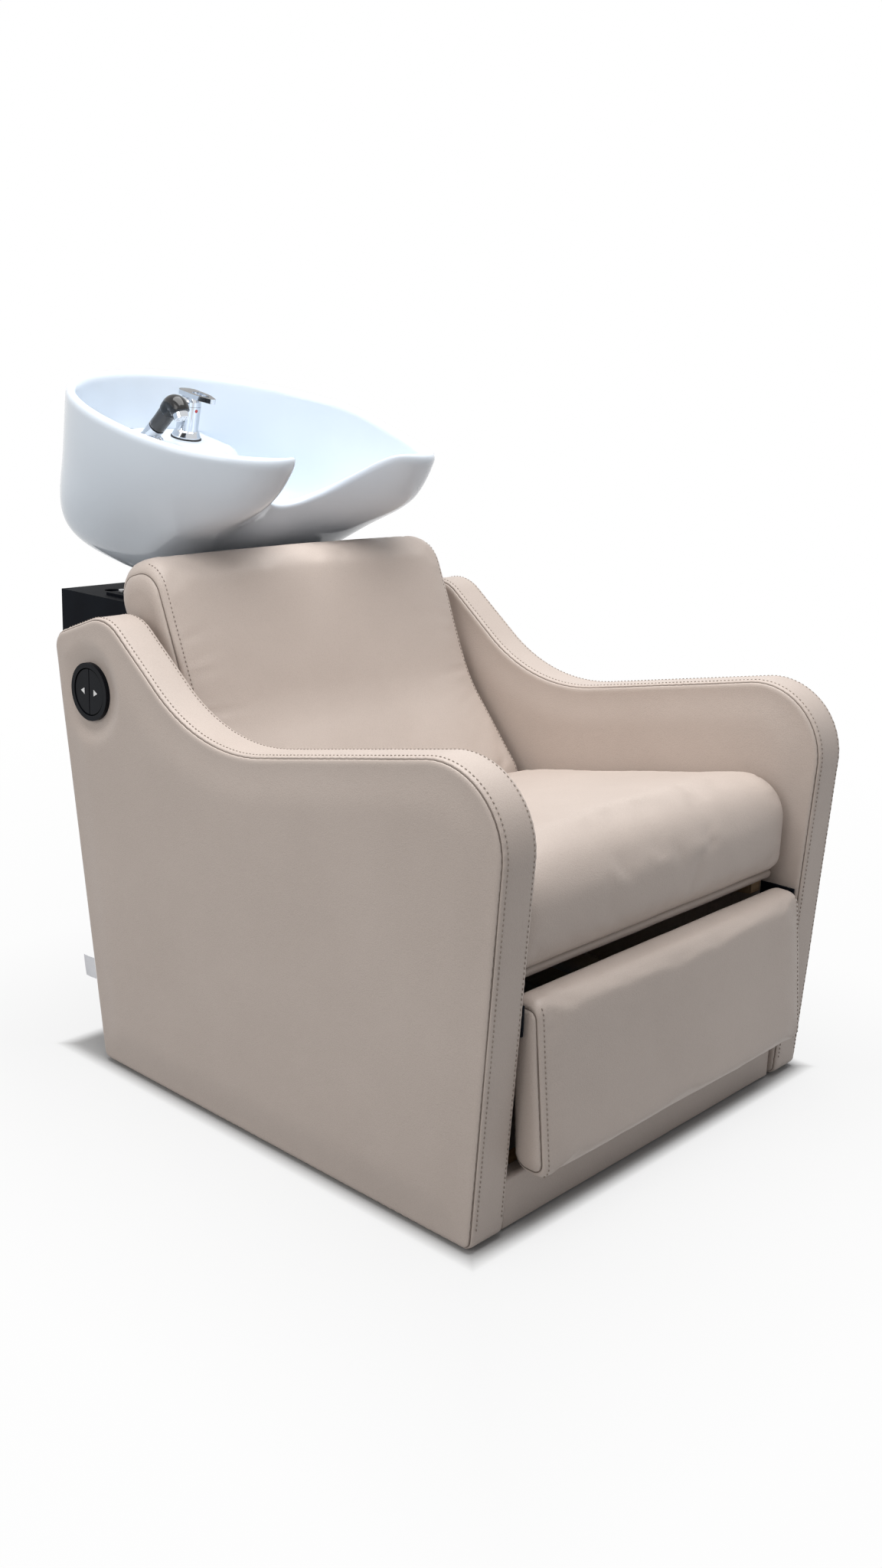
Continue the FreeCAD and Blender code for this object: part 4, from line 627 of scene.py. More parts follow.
def stitches(name, draw, x, inset, start, stop):
    """Row of raised stitches on the band at x, between two shares of the outline."""
    loop = draw(x)
    normals = outward(loop)
    loop = loop - normals * inset
    count = len(loop)
    picks = np.arange(round(start * count), round(stop * count)) % count
    path = np.column_stack([np.full(len(picks), x), loop[picks]])
    out = np.column_stack([np.zeros(len(picks)), normals[picks]])
    lengths = np.concatenate([[0], np.cumsum(np.linalg.norm(np.diff(path, axis=0), axis=1))])
    verts = []
    faces = []
    sides = THREAD_SIDES
    profile = [(-0.5, 0.25), (-0.36, 0.85), (0, 1), (0.36, 0.85), (0.5, 0.25)]
    for centre in np.arange(STITCH_PITCH, lengths[-1] - STITCH_PITCH, STITCH_PITCH):
        ends = [np.array([np.interp(centre + d, lengths, path[:, k]) for k in range(3)])
                for d in (-STITCH_LENGTH / 2, STITCH_LENGTH / 2)]
        up = np.array([np.interp(centre, lengths, out[:, k]) for k in range(3)])
        along = ends[1] - ends[0]
        across = np.cross(up, along)
        across /= np.linalg.norm(across)
        up /= np.linalg.norm(up)
        base = len(verts)
        for share, thick in profile:
            middle = (ends[0] + ends[1]) / 2 + along * share + up * STITCH_RADIUS * 0.35
            for s in range(sides):
                angle = 2 * math.pi * s / sides
                spot = middle + (across * math.cos(angle) + up * math.sin(angle)) * STITCH_RADIUS * thick
                verts.append((spot[0], FRONT_FOOT + spot[1], spot[2]))
        for k in range(len(profile) - 1):
            for s in range(sides):
                n = (s + 1) % sides
                faces.append((base + k * sides + s, base + k * sides + n, base + (k + 1) * sides + n,
                              base + (k + 1) * sides + s))
        faces.append(tuple(base + s for s in range(sides)))
        last = base + (len(profile) - 1) * sides
        faces.append(tuple(last + s for s in reversed(range(sides))))
    return mesh_object(name, verts, faces, THREAD, merge=0)


def dress(piece, body, node_name):
    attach(piece, body)
    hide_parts(node_name)


# Arm panels
ARM_STEP = 0.003
arm_draw = fixed_outline(ARM_POINTS, ARM_RADII, ARM_STEP)
ARM_COUNTS = sampling(ARM_POINTS, ARM_RADII, ARM_STEP)
ARM_TOTAL = sum(a + b for a, b in ARM_COUNTS)
ARM_SEWN_FROM = (ARM_COUNTS[0][0] + 3) / ARM_TOTAL
ARM_SEWN_TO = sum(a + b for a, b in ARM_COUNTS[:4]) / ARM_TOTAL
for side, low, high, sink in (("right", -ARM_OUT, -ARM_IN, SWITCH_SINK - ARM_TUCK), ("left", ARM_IN, ARM_OUT, None)):
    low, high = low + ARM_TUCK, high - ARM_TUCK
    panel = upholster(side + "_arm_cover", arm_draw, low, high, ARM_EDGE, BAND_STEP, ARM_BULGE, ARM_REACH, sink)
    dress(panel, "chair", side + "_arm_panel")
    for edge_name, x in (("low", low + STITCH_PLACE), ("high", high - STITCH_PLACE)):
        row = stitches("%s_arm_stitches_%s" % (side, edge_name), arm_draw, x, 0, ARM_SEWN_FROM, ARM_SEWN_TO)
        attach(row, "chair")
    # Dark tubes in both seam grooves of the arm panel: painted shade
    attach(seams(side + "_arm_seam_shade", arm_draw, low, high, ARM_EDGE), "chair")


# Seat cushion with its padded lip

def seat_points(x):
    crown = crowned(x, SEAT_HALF, SEAT_CROWN)
    base_rear = SEAT_BASE - (SEAT_REAR - SEAT_FRONT) * SEAT_BASE_SLOPE
    top_rear = SEAT_TOP - (SEAT_REAR - SEAT_FRONT) * SEAT_SLOPE
    return [(SEAT_FRONT, SEAT_BASE), (SEAT_FRONT, SEAT_TOP + crown),
            (SEAT_REAR, top_rear + crown), (SEAT_REAR, base_rear)]


seat_draw = shaped_outline(seat_points, SEAT_RADII, CUSHION_STEP)
seat = upholster("seat_cover", seat_draw, -SEAT_HALF, SEAT_HALF, SEAT_EDGE, BAND_STEP, 0.001, 0.05, ripple=0.0008)
inflate(seat, lambda x, place, z, normal: abs(x) < SEAT_HALF - 0.6 * SEAT_EDGE and place < SEAT_REAR - 0.03
        and (normal.z > -0.2 or normal.y < -0.5) and z > SEAT_BASE + 0.012, SEAT_SWELL)
dress(seat, "chair", "seat_cushion")


def under_seat(place, below):
    return (place, SEAT_BASE - (place - SEAT_FRONT) * SEAT_BASE_SLOPE - below)


apron_points = [under_seat(APRON_FRONT, APRON_GAP), under_seat(APRON_REAR, APRON_GAP),
                under_seat(APRON_REAR, APRON_THICKNESS), under_seat(APRON_FRONT, APRON_THICKNESS)]
apron_draw = fixed_outline(apron_points, [0.0065, 0.002, 0.002, 0.0065], 0.002)
apron = upholster("seat_lip_cover", apron_draw, -SEAT_HALF, SEAT_HALF, 0.0055, 0.02, 0.0005, 0.01, ripple=0.0008)
dress(apron, "chair", "seat_apron")


# Back cushion

def back_points(x):
    crown = crowned(x, BACK_HALF, BACK_CROWN)
    drop = corner_drop(x, BACK_HALF, BACK_CORNER)
    moved = list(BACK_POINTS)
    lean = (BACK_POINTS[3][0] - BACK_POINTS[2][0]) / (BACK_POINTS[3][1] - BACK_POINTS[2][1])
    moved[2] = (BACK_POINTS[2][0] - crown, BACK_POINTS[2][1])
    moved[3] = (BACK_POINTS[3][0] - crown - drop * lean, BACK_POINTS[3][1] + crown * lean - drop)
    moved[4] = (BACK_POINTS[4][0] - drop * lean, BACK_POINTS[4][1] + crown * lean - drop)
    return moved


back_draw = shaped_outline(back_points, BACK_RADII, CUSHION_STEP)
back = upholster("back_cover", back_draw, -BACK_HALF, BACK_HALF, BACK_EDGE, BAND_STEP, 0.003, 0.04, ripple=0.0008)
inflate(back, lambda x, place, z, normal: abs(x) < BACK_HALF - BACK_STITCH - 0.002 and z > BACK_POINTS[1][1]
        and normal.y < 0.2, BACK_SWELL)
dress(back, "chair", "back_cushion")
BACK_COUNTS = sampling(back_points(0), BACK_RADII, CUSHION_STEP)
BACK_TOTAL = sum(a + b for a, b in BACK_COUNTS)
for edge_name, x in (("low", -BACK_HALF + BACK_STITCH), ("high", BACK_HALF - BACK_STITCH)):
    sewn_to = (sum(a + b for a, b in BACK_COUNTS[:3]) + BACK_COUNTS[3][0]) / BACK_TOTAL
    row = stitches("back_stitches_" + edge_name, back_draw, x, inset_at(BACK_EDGE, BACK_STITCH),
                   sum(BACK_COUNTS[0]) / BACK_TOTAL, sewn_to)
    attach(row, "chair")
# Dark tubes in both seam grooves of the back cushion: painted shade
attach(seams("back_seam_shade", back_draw, -BACK_HALF, BACK_HALF, BACK_EDGE), "chair")


# Footrest pad

def pad_points(x):
    crown = crowned(x, PAD_HALF, PAD_CROWN)
    drop = corner_drop(x, PAD_HALF, PAD_CORNER)
    lean = (PAD_POINTS[1][0] - PAD_POINTS[0][0]) / (PAD_POINTS[1][1] - PAD_POINTS[0][1])
    return [(place - (crown if front else 0) + rise * drop * lean, height + rise * drop)
            for (place, height), front, rise in zip(PAD_POINTS, (1, 1, 0, 0), (1, -1, -1, 1))]


pad_draw = shaped_outline(pad_points, PAD_RADII, PAD_STEP)
pad = upholster("footrest_cover", pad_draw, -PAD_HALF, PAD_HALF, PAD_EDGE, BAND_STEP, 0.001, 0.014, ripple=0.0006)
inflate(pad, lambda x, place, z, normal: abs(x) < PAD_HALF - PAD_STITCH - 0.002 and normal.y < 0.1, PAD_SWELL)
dress(pad, "footrest", "footrest_pad")
PAD_COUNTS = sampling(pad_points(0), PAD_RADII, PAD_STEP)
PAD_TOTAL = sum(a + b for a, b in PAD_COUNTS)
for edge_name, x in (("low", -PAD_HALF + PAD_STITCH), ("high", PAD_HALF - PAD_STITCH)):
    sewn_to = (sum(PAD_COUNTS[0]) + PAD_COUNTS[1][0]) / PAD_TOTAL
    row = stitches("footrest_stitches_" + edge_name, pad_draw, x, inset_at(PAD_EDGE, PAD_STITCH), 0.01, sewn_to)
    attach(row, "footrest")
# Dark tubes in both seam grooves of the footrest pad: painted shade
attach(seams("footrest_seam_shade", pad_draw, -PAD_HALF, PAD_HALF, PAD_EDGE), "footrest")

# Kick panel and rear panel, leather over board
kick_draw = fixed_outline([(KICK_PLACE, FLOOR_GAP), (KICK_PLACE, KICK_TOP),
                           (KICK_REAR, KICK_TOP), (KICK_REAR, FLOOR_GAP)],
                          [0.003, 0.006, 0.003, 0.003], 0.003)
kick = upholster("kick_cover", kick_draw, -ARM_IN, ARM_IN, 0.003, 0.02, 0, 0.01)
dress(kick, "chair", "kick_panel")


def rear_line(z, inset):
    return (ARM_POINTS[5][0] + REAR_LEAN * (z - FLOOR_GAP) - inset, z)


rear_draw = fixed_outline([rear_line(FLOOR_GAP, REAR_INSET), rear_line(REAR_TOP, REAR_INSET),
                           rear_line(REAR_TOP, REAR_INSET + REAR_THICKNESS),
                           rear_line(FLOOR_GAP, REAR_INSET + REAR_THICKNESS)], [0.003] * 4, 0.006)
rear = upholster("rear_cover", rear_draw, -ARM_IN, ARM_IN, 0.003, 0.02, 0, 0.01)
dress(rear, "chair", "rear_panel")


# Basin: one closed glazed shell, from the drain up the outside, over the lip and down the inside.
# OUTER_SHARES holds depth, half width, length in front and behind, notch, and half width of the tips.

RIM_SHARES = [(0, 0), (0.48, 0.066), (0.845, 0.245), (1, 0.47), (0.965, 0.66), (0.83, 0.85)]
OUTER_SHARES = [(0, 1, 0, 0, 1, 1), (0.22, 1, 0.055, 0, 1, 1.05), (0.45, 0.98, 0.165, 0, 0.75, 1.22),
                (0.7, 0.93, 0.352, 0.012, 0.2, 1.40), (0.9, 0.78, 0.46, 0.07, 0.08, 1.08), (1, 0.6, 0.5, 0.13, 0, 0.75)]
DIP_SHARES = [(0, 0), (0.06, 0.25), (0.13, 0.75), (0.24, 1), (0.36, 0.85), (0.48, 0.45), (0.6, 0.1), (0.66, 0), (1, 0)]
NECK_WIDE_SHARE = 0.5
NECK_DEEP_SHARE = 0.6
FRONT_WALL_SHARE = 1.3
TIP_WALL_SHARE = 0.7
PER_KNOT = 14
TIP_SPREAD = 7
TIP_SOFTNESS = 5
TIP_LIP_DROP = 0.007
LOW_SPREAD = 12
LOW_SOFTNESS = 8
LOW_FROM = 0.3
LOW_OVER = 0.35
NECK_REACH = 0.25
DEPTH_STEPS = 70
LIP_STEPS = 12
FLOOR_RINGS = 12


def spline(knots, values, wanted, closed):
    """Cubic spline through values at knots, read at the wanted places."""
    n = len(knots)
    steps = np.diff(knots)
    rows = n - 1 if closed else n
    left = np.zeros((rows, rows))
    right = np.zeros((rows, *values.shape[1:]))
    slopes = np.diff(values, axis=0) / steps.reshape(-1, *[1] * (values.ndim - 1))
    for i in range(rows):
        if not closed and i in (0, n - 1):
            left[i, i] = 1
            continue
        before, after = (steps[i - 1], steps[i]) if i else (steps[-1], steps[0])
        left[i, i - 1] += before
        left[i, i] += 2 * (before + after)
        left[i, (i + 1) % rows] += after
        right[i] = 6 * (slopes[i] - slopes[i - 1])
    bend = np.linalg.solve(left, right.reshape(rows, -1)).reshape(rows, *values.shape[1:])
    if closed:
        bend = np.concatenate([bend, bend[:1]])
    cell = np.clip(np.searchsorted(knots, wanted, side="right") - 1, 0, n - 2)
    shape = (-1, *[1] * (values.ndim - 1))
    width = steps[cell].reshape(shape)
    ahead = (knots[cell + 1] - wanted).reshape(shape)
    behind = (wanted - knots[cell]).reshape(shape)
    return (bend[cell] * ahead ** 3 / (6 * width) + bend[cell + 1] * behind ** 3 / (6 * width)
            + (values[cell] / width - bend[cell] * width / 6) * ahead
            + (values[cell + 1] / width - bend[cell + 1] * width / 6) * behind)


def basin_section(half_width, front, rear, tip, notch):
    """Closed plan curve with the same number of points between its knots."""
    half = [(wide * half_width, rear - along * (rear - front)) for wide, along in RIM_SHARES]
    half += [(tip, front), (tip * NECK_WIDE_SHARE, front + notch * NECK_DEEP_SHARE), (0, front + notch)]
    knots = np.array(half + [(-x, y) for x, y in reversed(half[:-1])])
    chords = np.concatenate([[0], np.cumsum(np.linalg.norm(np.diff(knots, axis=0), axis=1))])
    wanted = np.concatenate([np.linspace(chords[i], chords[i + 1], PER_KNOT, endpoint=False)
                             for i in range(len(chords) - 1)])
    return spline(chords, knots, wanted, True)


def basin_surface(wall):
    """Points over depth and round the basin, shape (depth, round, 3), drawn in by the wall."""
    sections = []
    depths = []
    for depth, wide, front, rear, notch, tips in OUTER_SHARES:
        depths.append(depth * (BASIN_DEPTH - (BOWL_FLOOR if wall else 0)))
        sections.append(basin_section(BASIN_HALF * wide - wall,
                                      BASIN_FRONT + front * BASIN_LENGTH + wall * FRONT_WALL_SHARE,
                                      BASIN_REAR - rear * BASIN_LENGTH - wall, TIP_HALF * tips - wall * TIP_WALL_SHARE,
                                      NECK_NOTCH * notch))
    wanted = np.linspace(0, depths[-1], DEPTH_STEPS)
    plan = spline(np.array(depths), np.array(sections), wanted, False)
    plan += (blur(plan, TIP_SOFTNESS, 1) - plan) * near_tips(plan.shape[1], TIP_SPREAD)[None, :, None]
    low = smooth((wanted / wanted[-1] - LOW_FROM) / LOW_OVER)[:, None] * near_tips(plan.shape[1], LOW_SPREAD)[None]
    plan += (blur(plan, LOW_SOFTNESS, 1) - plan) * np.minimum(low, 1)[..., None]
    height = rim_height(plan[..., 1]) - wanted[:, None]
    return np.concatenate([plan, height[..., None]], 2), wanted


def rim_height(place):
    return TIP_HEIGHT + (place - BASIN_FRONT) * RIM_SLOPE


def dip(place):
    """Sag of the rim between the neck recess and the rear."""
    return RIM_DIP * np.interp((place - BASIN_FRONT) / BASIN_LENGTH, *zip(*DIP_SHARES))


def blur(values, width, axis=0):
    reach = np.arange(-3 * width, 3 * width + 1)
    weights = np.exp(-0.5 * (reach / width) ** 2)
    return sum(np.roll(values, k, axis) * w for k, w in zip(reach, weights)) / weights.sum()


def near_tips(columns, reach):
    """One at the two front tips, falling to nothing a few columns away."""
    tips = (len(RIM_SHARES) * PER_KNOT, (len(RIM_SHARES) + 4) * PER_KNOT)
    return sum(np.exp(-0.5 * ((np.arange(columns) - tip) / reach) ** 2) for tip in tips)


def lip_depth(surface, depths):
    """Depth at which each column meets the rim or the neck recess."""
    x = np.clip(np.abs(surface[..., 0]), 0, NECK_RADIUS)
    neck = NECK_HEIGHT + NECK_RADIUS - np.sqrt(NECK_RADIUS ** 2 - x ** 2)
    open_here = (np.abs(surface[..., 0]) < NECK_RADIUS) & (surface[..., 1] < BASIN_FRONT + NECK_REACH)
    above = (surface[..., 2] > neck) & open_here
    below = np.minimum(above.shape[0] - above[::-1].argmax(0), len(depths) - 1)
    found = np.where(above.any(0), depths[below], 0)
    return blur(np.maximum(found, dip(surface[0, :, 1])), 3)


def columns_from(surface, depths, top, count):
    """Each column read again between its own top and the bottom."""
    out = np.empty((count, surface.shape[1], 3))
    for i in range(surface.shape[1]):
        wanted = top[i] + (depths[-1] - top[i]) * np.linspace(0, 1, count)
        for k in range(3):
            out[:, i, k] = np.interp(wanted, depths, surface[:, i, k])
    return out


outer, outer_depths = basin_surface(0)
inner, inner_depths = basin_surface(BASIN_WALL)
outer_top = lip_depth(outer, outer_depths)
inner_top = lip_depth(inner, inner_depths)
outer_edge = columns_from(outer, outer_depths, outer_top, 2)[0]
inner_edge = columns_from(inner, inner_depths, inner_top, 2)[0]
lip_drop = LIP_DROP + TIP_LIP_DROP * near_tips(outer.shape[1], TIP_SPREAD)
outer_wall = columns_from(outer, outer_depths, outer_top + lip_drop, DEPTH_STEPS)
inner_wall = columns_from(inner, inner_depths, inner_top + lip_drop, DEPTH_STEPS)
crest = (outer_edge + inner_edge) / 2
root = (outer_wall[0] + inner_wall[0]) / 2
lip = [root + (outer_wall[0] - root) * math.cos(a) + (crest - root) * math.sin(a)
       for a in np.linspace(0, math.pi, LIP_STEPS + 1)[1:-1]]


def drain_circle(depth, like):
    """Circle round the drain with one point for each column."""
    turn = np.arctan2(like[:, 1] - DRAIN_PLACE, like[:, 0])
    plan = np.stack([DRAIN_RADIUS * np.cos(turn), DRAIN_PLACE + DRAIN_RADIUS * np.sin(turn)], 1)
    return np.column_stack([plan, rim_height(plan[:, 1]) - depth])


def floor_rings(edge, centre):
    return [edge + (centre - edge) * t for t in np.linspace(0, 1, FLOOR_RINGS + 1)[1:]]


bottom_hole = drain_circle(BASIN_DEPTH, outer_wall[-1])
floor_hole = drain_circle(BASIN_DEPTH - BOWL_FLOOR, inner_wall[-1])
rings = list(reversed(floor_rings(outer_wall[-1], bottom_hole))) + list(outer_wall[::-1]) + lip + list(inner_wall)
rings += floor_rings(inner_wall[-1], floor_hole)
inner_start = FLOOR_RINGS + DEPTH_STEPS + len(lip)
rings = np.array(rings)
raised = rim_height(rings[..., 1]) - LEDGE_DEPTH
share = smooth((rings[..., 1] - LEDGE_FRONT + LEDGE_BLEND / 2) / LEDGE_BLEND)
share *= 1 - smooth((np.abs(rings[..., 0]) - LEDGE_HALF) / LEDGE_FADE)
is_inner = np.arange(len(rings))[:, None] >= inner_start
lift = np.where(is_inner, np.maximum(raised - rings[..., 2], 0) * share, 0)
rings[..., 2] += lift
around = rings.shape[1]
verts = [(p[0], FRONT_FOOT + p[1], p[2]) for ring in rings for p in ring]
faces = [(k * around + i, k * around + (i + 1) % around, ((k + 1) % len(rings)) * around + (i + 1) % around,
          ((k + 1) % len(rings)) * around + i) for k in range(len(rings)) for i in range(around)]
bowl = mesh_object("basin_glazed", verts, faces, MATERIALS["ceramic"], merge=1e-6)
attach(bowl, "basin_unit")
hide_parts("basin")

# Spray handset: a bent tube out of its holder, with a glossy elbow
HOLDER_PLACE = 0.965
HOLDER_SIDE = -0.034
HOLDER_FOOT = 0.004
HANDSET_LEAN = math.radians(49.31)
HEAD_LEAN = math.radians(24)
HANDLE_START = 0.0224
HANDLE_END = 0.0844
BEND_RADIUS = 0.0105
TUBE_SIDES = 40
ELBOW_TURNS = 16
ELBOW_TUBE = 0.0150
handset_along = Vector((0, -math.sin(HANDSET_LEAN), math.cos(HANDSET_LEAN)))
head_along = Vector((0, -math.sin(HEAD_LEAN), -math.cos(HEAD_LEAN)))
holder_at = at(HOLDER_SIDE, HOLDER_PLACE, rim_height(HOLDER_PLACE) - LEDGE_DEPTH) + RIM_UP * HOLDER_FOOT
elbow_at = holder_at + handset_along * HANDLE_END
bend_angle = handset_along.angle(head_along)
bend_reach = BEND_RADIUS * math.tan(bend_angle / 2)
bend_from = elbow_at - handset_along * bend_reach
bend_side = (head_along - handset_along * math.cos(bend_angle)).normalized()


def bend_spot(turn):
    """Place and direction on the elbow's arc after a turn."""
    spot = bend_from + handset_along * BEND_RADIUS * math.sin(turn) + bend_side * BEND_RADIUS * (1 - math.cos(turn))
    return spot, handset_along * math.cos(turn) + bend_side * math.sin(turn)


def tube(name, rows, finish):
    """Closed tube through rows of place, direction and radius, all in one plane across X."""
    verts = []
    for spot, along, radius in rows:
        side = Vector((1, 0, 0)).cross(along)
        for s in range(TUBE_SIDES):
            angle = 2 * math.pi * s / TUBE_SIDES
            verts.append(spot + (Vector((1, 0, 0)) * math.cos(angle) + side * math.sin(angle)) * radius)
    faces = [(k * TUBE_SIDES + s, k * TUBE_SIDES + (s + 1) % TUBE_SIDES, (k + 1) * TUBE_SIDES + (s + 1) % TUBE_SIDES,
              (k + 1) * TUBE_SIDES + s) for k in range(len(rows) - 1) for s in range(TUBE_SIDES)]
    faces.append(tuple(range(TUBE_SIDES)))
    faces.append(tuple((len(rows) - 1) * TUBE_SIDES + s for s in reversed(range(TUBE_SIDES))))
    return mesh_object(name, verts, faces, finish, merge=0)


GRIP_ROWS = [(0, 0.0112), (0.001, 0.0122), (0.003, 0.0127), (0.012, 0.0126), (0.024, 0.0128), (0.036, 0.0131),
             (0.048, 0.0134), (0.056, 0.0134)]
grip = tube("handset_grip", [(holder_at + handset_along * (HANDLE_START + run), handset_along, radius)
                             for run, radius in GRIP_ROWS], HANDLE_GREY)
ELBOW_STARTS = [(-0.012, 0.0133), (-0.0117, 0.0141), (-0.010, 0.0146), (-0.005, 0.0149)]
elbow_rows = [(bend_from + handset_along * run, handset_along, radius) for run, radius in ELBOW_STARTS]
elbow_rows += [(*bend_spot(turn), ELBOW_TUBE) for turn in np.linspace(0, bend_angle, ELBOW_TURNS)]
HEAD_ENDS = [(0.0155, 0.0150), (0.0180, 0.0149), (0.0194, 0.0143), (0.0200, 0.0132), (0.0200, 0.0080)]
elbow_rows += [(elbow_at + head_along * run, head_along, radius) for run, radius in HEAD_ENDS]
elbow = tube("handset_elbow", elbow_rows, MATERIALS["handset_black"])
for piece in (grip, elbow):
    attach(piece, "handset")
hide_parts("handset_body")

# Blank cloth tag sewn into the rear edge of the right arm panel
TAG_WIDE = 0.022
TAG_TALL = 0.029
TAG_LOW = 0.114
TAG_TUCK = 0.004
TAG_SIDE = -ARM_OUT + 0.0045
TAG_CELLS = (10, 12)
TAG_CURL = 0.0022
tag_verts = []
for i in range(TAG_CELLS[0] + 1):
    out = i / TAG_CELLS[0]
    for j in range(TAG_CELLS[1] + 1):
        z = TAG_LOW + TAG_TALL * j / TAG_CELLS[1]
        edge = ARM_POINTS[5][0] + REAR_LEAN * (z - FLOOR_GAP)
        curl = TAG_CURL * math.sin(2.2 * out) * (0.75 + 0.25 * math.sin(3 * j / TAG_CELLS[1]))
        tag_verts.append(at(TAG_SIDE - curl, edge - TAG_TUCK + TAG_WIDE * out, z))
tag_step = TAG_CELLS[1] + 1
tag_faces = [(i * tag_step + j, (i + 1) * tag_step + j, (i + 1) * tag_step + j + 1, i * tag_step + j + 1)
             for i in range(TAG_CELLS[0]) for j in range(TAG_CELLS[1])]
tag = mesh_object("sewn_tag", tag_verts, tag_faces, TAG_CLOTH)
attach(tag, "chair")

# Arrow marks on the two buttons
ARROW_PLACE = 0.013
ARROW_SIZE = 0.0075
ARROW_RISE = 0.0004
ARROW_THICKNESS = 0.0006
for name, body, side in (("raise", "raise_key", -1), ("lower", "lower_key", 1)):
    face_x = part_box("button_" + name)[0].x - ARROW_RISE
    corners = [(ARROW_PLACE + ARROW_SIZE * 0.6, 0), (ARROW_PLACE - ARROW_SIZE * 0.4, ARROW_SIZE * 0.55),
               (ARROW_PLACE - ARROW_SIZE * 0.4, -ARROW_SIZE * 0.55)]
    verts = [(face_x + t, FRONT_FOOT + SWITCH[0] - side * y, SWITCH[1] + z)
             for t in (0, ARROW_THICKNESS) for y, z in corners]
    mark = mesh_object("arrow_" + name, verts, [(0, 1, 2), (5, 4, 3), (0, 3, 4, 1), (1, 4, 5, 2), (2, 5, 3, 0)],
                       WHITE_PRINT)
    mark.data.polygons.foreach_set("use_smooth", [False] * len(mark.data.polygons))
    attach(mark, body)

# Camera at the photograph's viewing angle
FOCAL_SHARE = 2017.87 / 2048
SENSOR = 36.0
CAMERA_AT = (-1.4871, -1.4590, 0.9515)
CAMERA_AZIMUTH = math.radians(-47.947)
CAMERA_RISE = math.radians(15.572)
CAMERA_ROLL = math.radians(-2.2)
right_axis = Vector((math.cos(CAMERA_AZIMUTH), math.sin(CAMERA_AZIMUTH), 0))
back_axis = Vector((math.sin(CAMERA_AZIMUTH) * math.cos(CAMERA_RISE), -math.cos(CAMERA_AZIMUTH) * math.cos(CAMERA_RISE),
                    math.sin(CAMERA_RISE)))
up_axis = back_axis.cross(right_axis)
rolled_right = right_axis * math.cos(CAMERA_ROLL) - up_axis * math.sin(CAMERA_ROLL)
rolled_up = right_axis * math.sin(CAMERA_ROLL) + up_axis * math.cos(CAMERA_ROLL)
lens = bpy.data.cameras.new("camera")
lens.sensor_fit = "AUTO"
lens.sensor_width = SENSOR
lens.lens = FOCAL_SHARE * SENSOR
camera = bpy.data.objects.new("camera", lens)
bpy.context.scene.collection.objects.link(camera)
turned = Matrix((rolled_right, rolled_up, back_axis)).transposed().to_4x4()
camera.matrix_world = Matrix.Translation(CAMERA_AT) @ turned
bpy.context.scene.camera = camera

# Floor, world and lamps
FLOOR_HALF = 12.0
SHADE_CENTRE = -0.13
SHADE_HALF = (0.335, 0.36)
SHADE_REACH = 1.6
SHADE_STOPS = [(0, 0), (0.006, 0), (0.02, 0.85), (0.25, 0.96), (1, 1)]


def seen_directly(tree):
    """One where a ray comes from the camera or from a mirror or glass."""
    path = node(tree, "ShaderNodeLightPath")
    first = node(tree, "ShaderNodeMath", {0: path.outputs["Is Camera Ray"], 1: path.outputs["Is Glossy Ray"]},
                 operation="MAXIMUM")
    return node(tree, "ShaderNodeMath", {0: first.outputs["Value"], 1: path.outputs["Is Transmission Ray"]},
                operation="MAXIMUM").outputs["Value"]


floor_material, floor_tree, floor_shader = material("floor", Roughness=0.9, Base_Color=(0.48, 0.48, 0.48, 1))
glow = node(floor_tree, "ShaderNodeEmission", Strength=1.0, Color=(1, 1, 1, 1))
where = node(floor_tree, "ShaderNodeSeparateXYZ", {"Vector": place_of(floor_tree)})
away = []
for axis, centre, half in (("X", 0, SHADE_HALF[0]), ("Y", SHADE_CENTRE, SHADE_HALF[1])):
    moved = node(floor_tree, "ShaderNodeMath", {0: where.outputs[axis]}, operation="SUBTRACT")
    moved.inputs[1].default_value = centre
    size = node(floor_tree, "ShaderNodeMath", {0: moved.outputs["Value"]}, operation="ABSOLUTE")
    away.append(node(floor_tree, "ShaderNodeMapRange", {"Value": size.outputs["Value"]},
                     **{"From Min": half, "From Max": half + SHADE_REACH}).outputs["Result"])
farther = node(floor_tree, "ShaderNodeMath", dict(enumerate(away)), operation="MAXIMUM")
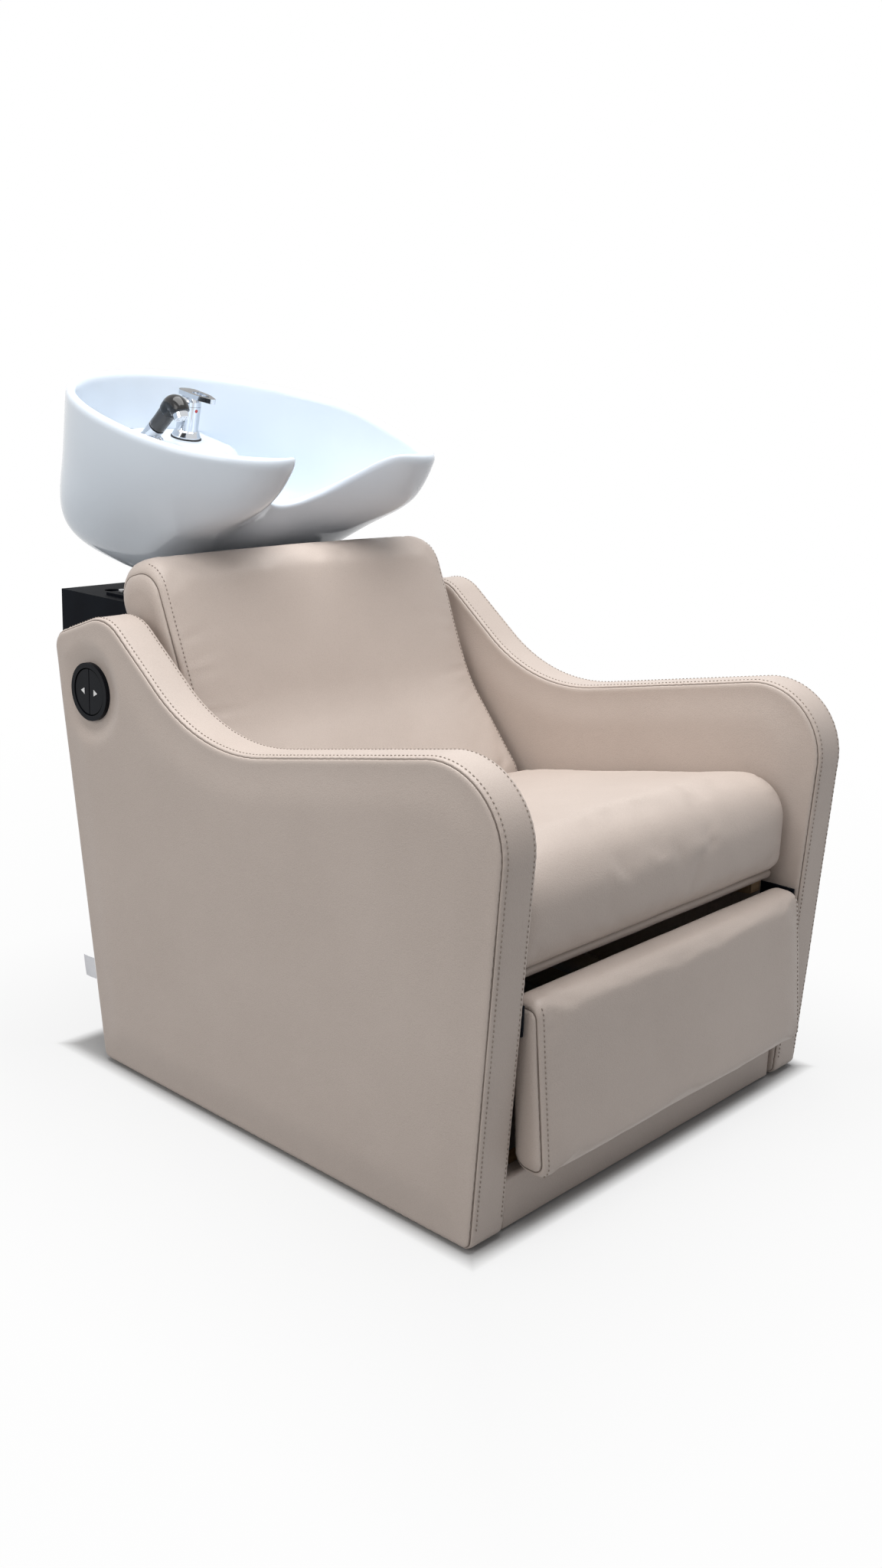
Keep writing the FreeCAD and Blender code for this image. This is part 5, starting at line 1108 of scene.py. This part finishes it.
white_share = ramp(floor_tree, farther.outputs["Value"], [(place, (share,) * 3) for place, share in SHADE_STOPS])
amount = node(floor_tree, "ShaderNodeMath", {0: seen_directly(floor_tree), 1: white_share}, operation="MULTIPLY")
blend = node(floor_tree, "ShaderNodeMixShader", {0: amount.outputs["Value"], 1: floor_shader.outputs["BSDF"],
                                                 2: glow.outputs["Emission"]})
floor_tree.links.new(blend.outputs["Shader"], floor_tree.nodes["Material Output"].inputs["Surface"])
floor = mesh_object("floor", [(-FLOOR_HALF, -FLOOR_HALF, 0), (FLOOR_HALF, -FLOOR_HALF, 0), (FLOOR_HALF, FLOOR_HALF, 0),
                              (-FLOOR_HALF, FLOOR_HALF, 0)], [(0, 1, 2, 3)], floor_material)

world = bpy.data.worlds.new("studio")
world.use_nodes = True
bpy.context.scene.world = world
sky = world.node_tree
ambient = sky.nodes["Background"]
ambient.inputs["Color"].default_value = (0.95, 0.97, 1.0, 1)
ambient.inputs["Strength"].default_value = 0.29
white = node(sky, "ShaderNodeBackground", Strength=1.0, Color=(1, 1, 1, 1))
chosen = node(sky, "ShaderNodeMixShader", {0: seen_directly(sky), 1: ambient.outputs["Background"],
                                           2: white.outputs["Background"]})
sky.links.new(chosen.outputs["Shader"], sky.nodes["World Output"].inputs["Surface"])


def lamp(name, where, aim, size, power, colour):
    data = bpy.data.lights.new(name, "AREA")
    data.shape = "RECTANGLE"
    data.size, data.size_y = size
    data.energy = power
    data.color = colour
    made = bpy.data.objects.new(name, data)
    bpy.context.scene.collection.objects.link(made)
    turn = (Vector(where) - Vector(aim)).to_track_quat("Z", "Y").to_matrix().to_4x4()
    made.matrix_world = Matrix.Translation(where) @ turn
    return made


lamp("top_softbox", (0.0, -0.05, 2.7), (0, 0, 0.4), (2.4, 2.4), 84, (1.0, 0.99, 0.98))
lamp("side_softbox", (-2.6, -0.2, 1.7), (0, 0, 0.4), (1.6, 1.6), 19, (1.0, 0.98, 0.95))

bpy.context.scene.view_settings.view_transform = "Standard"
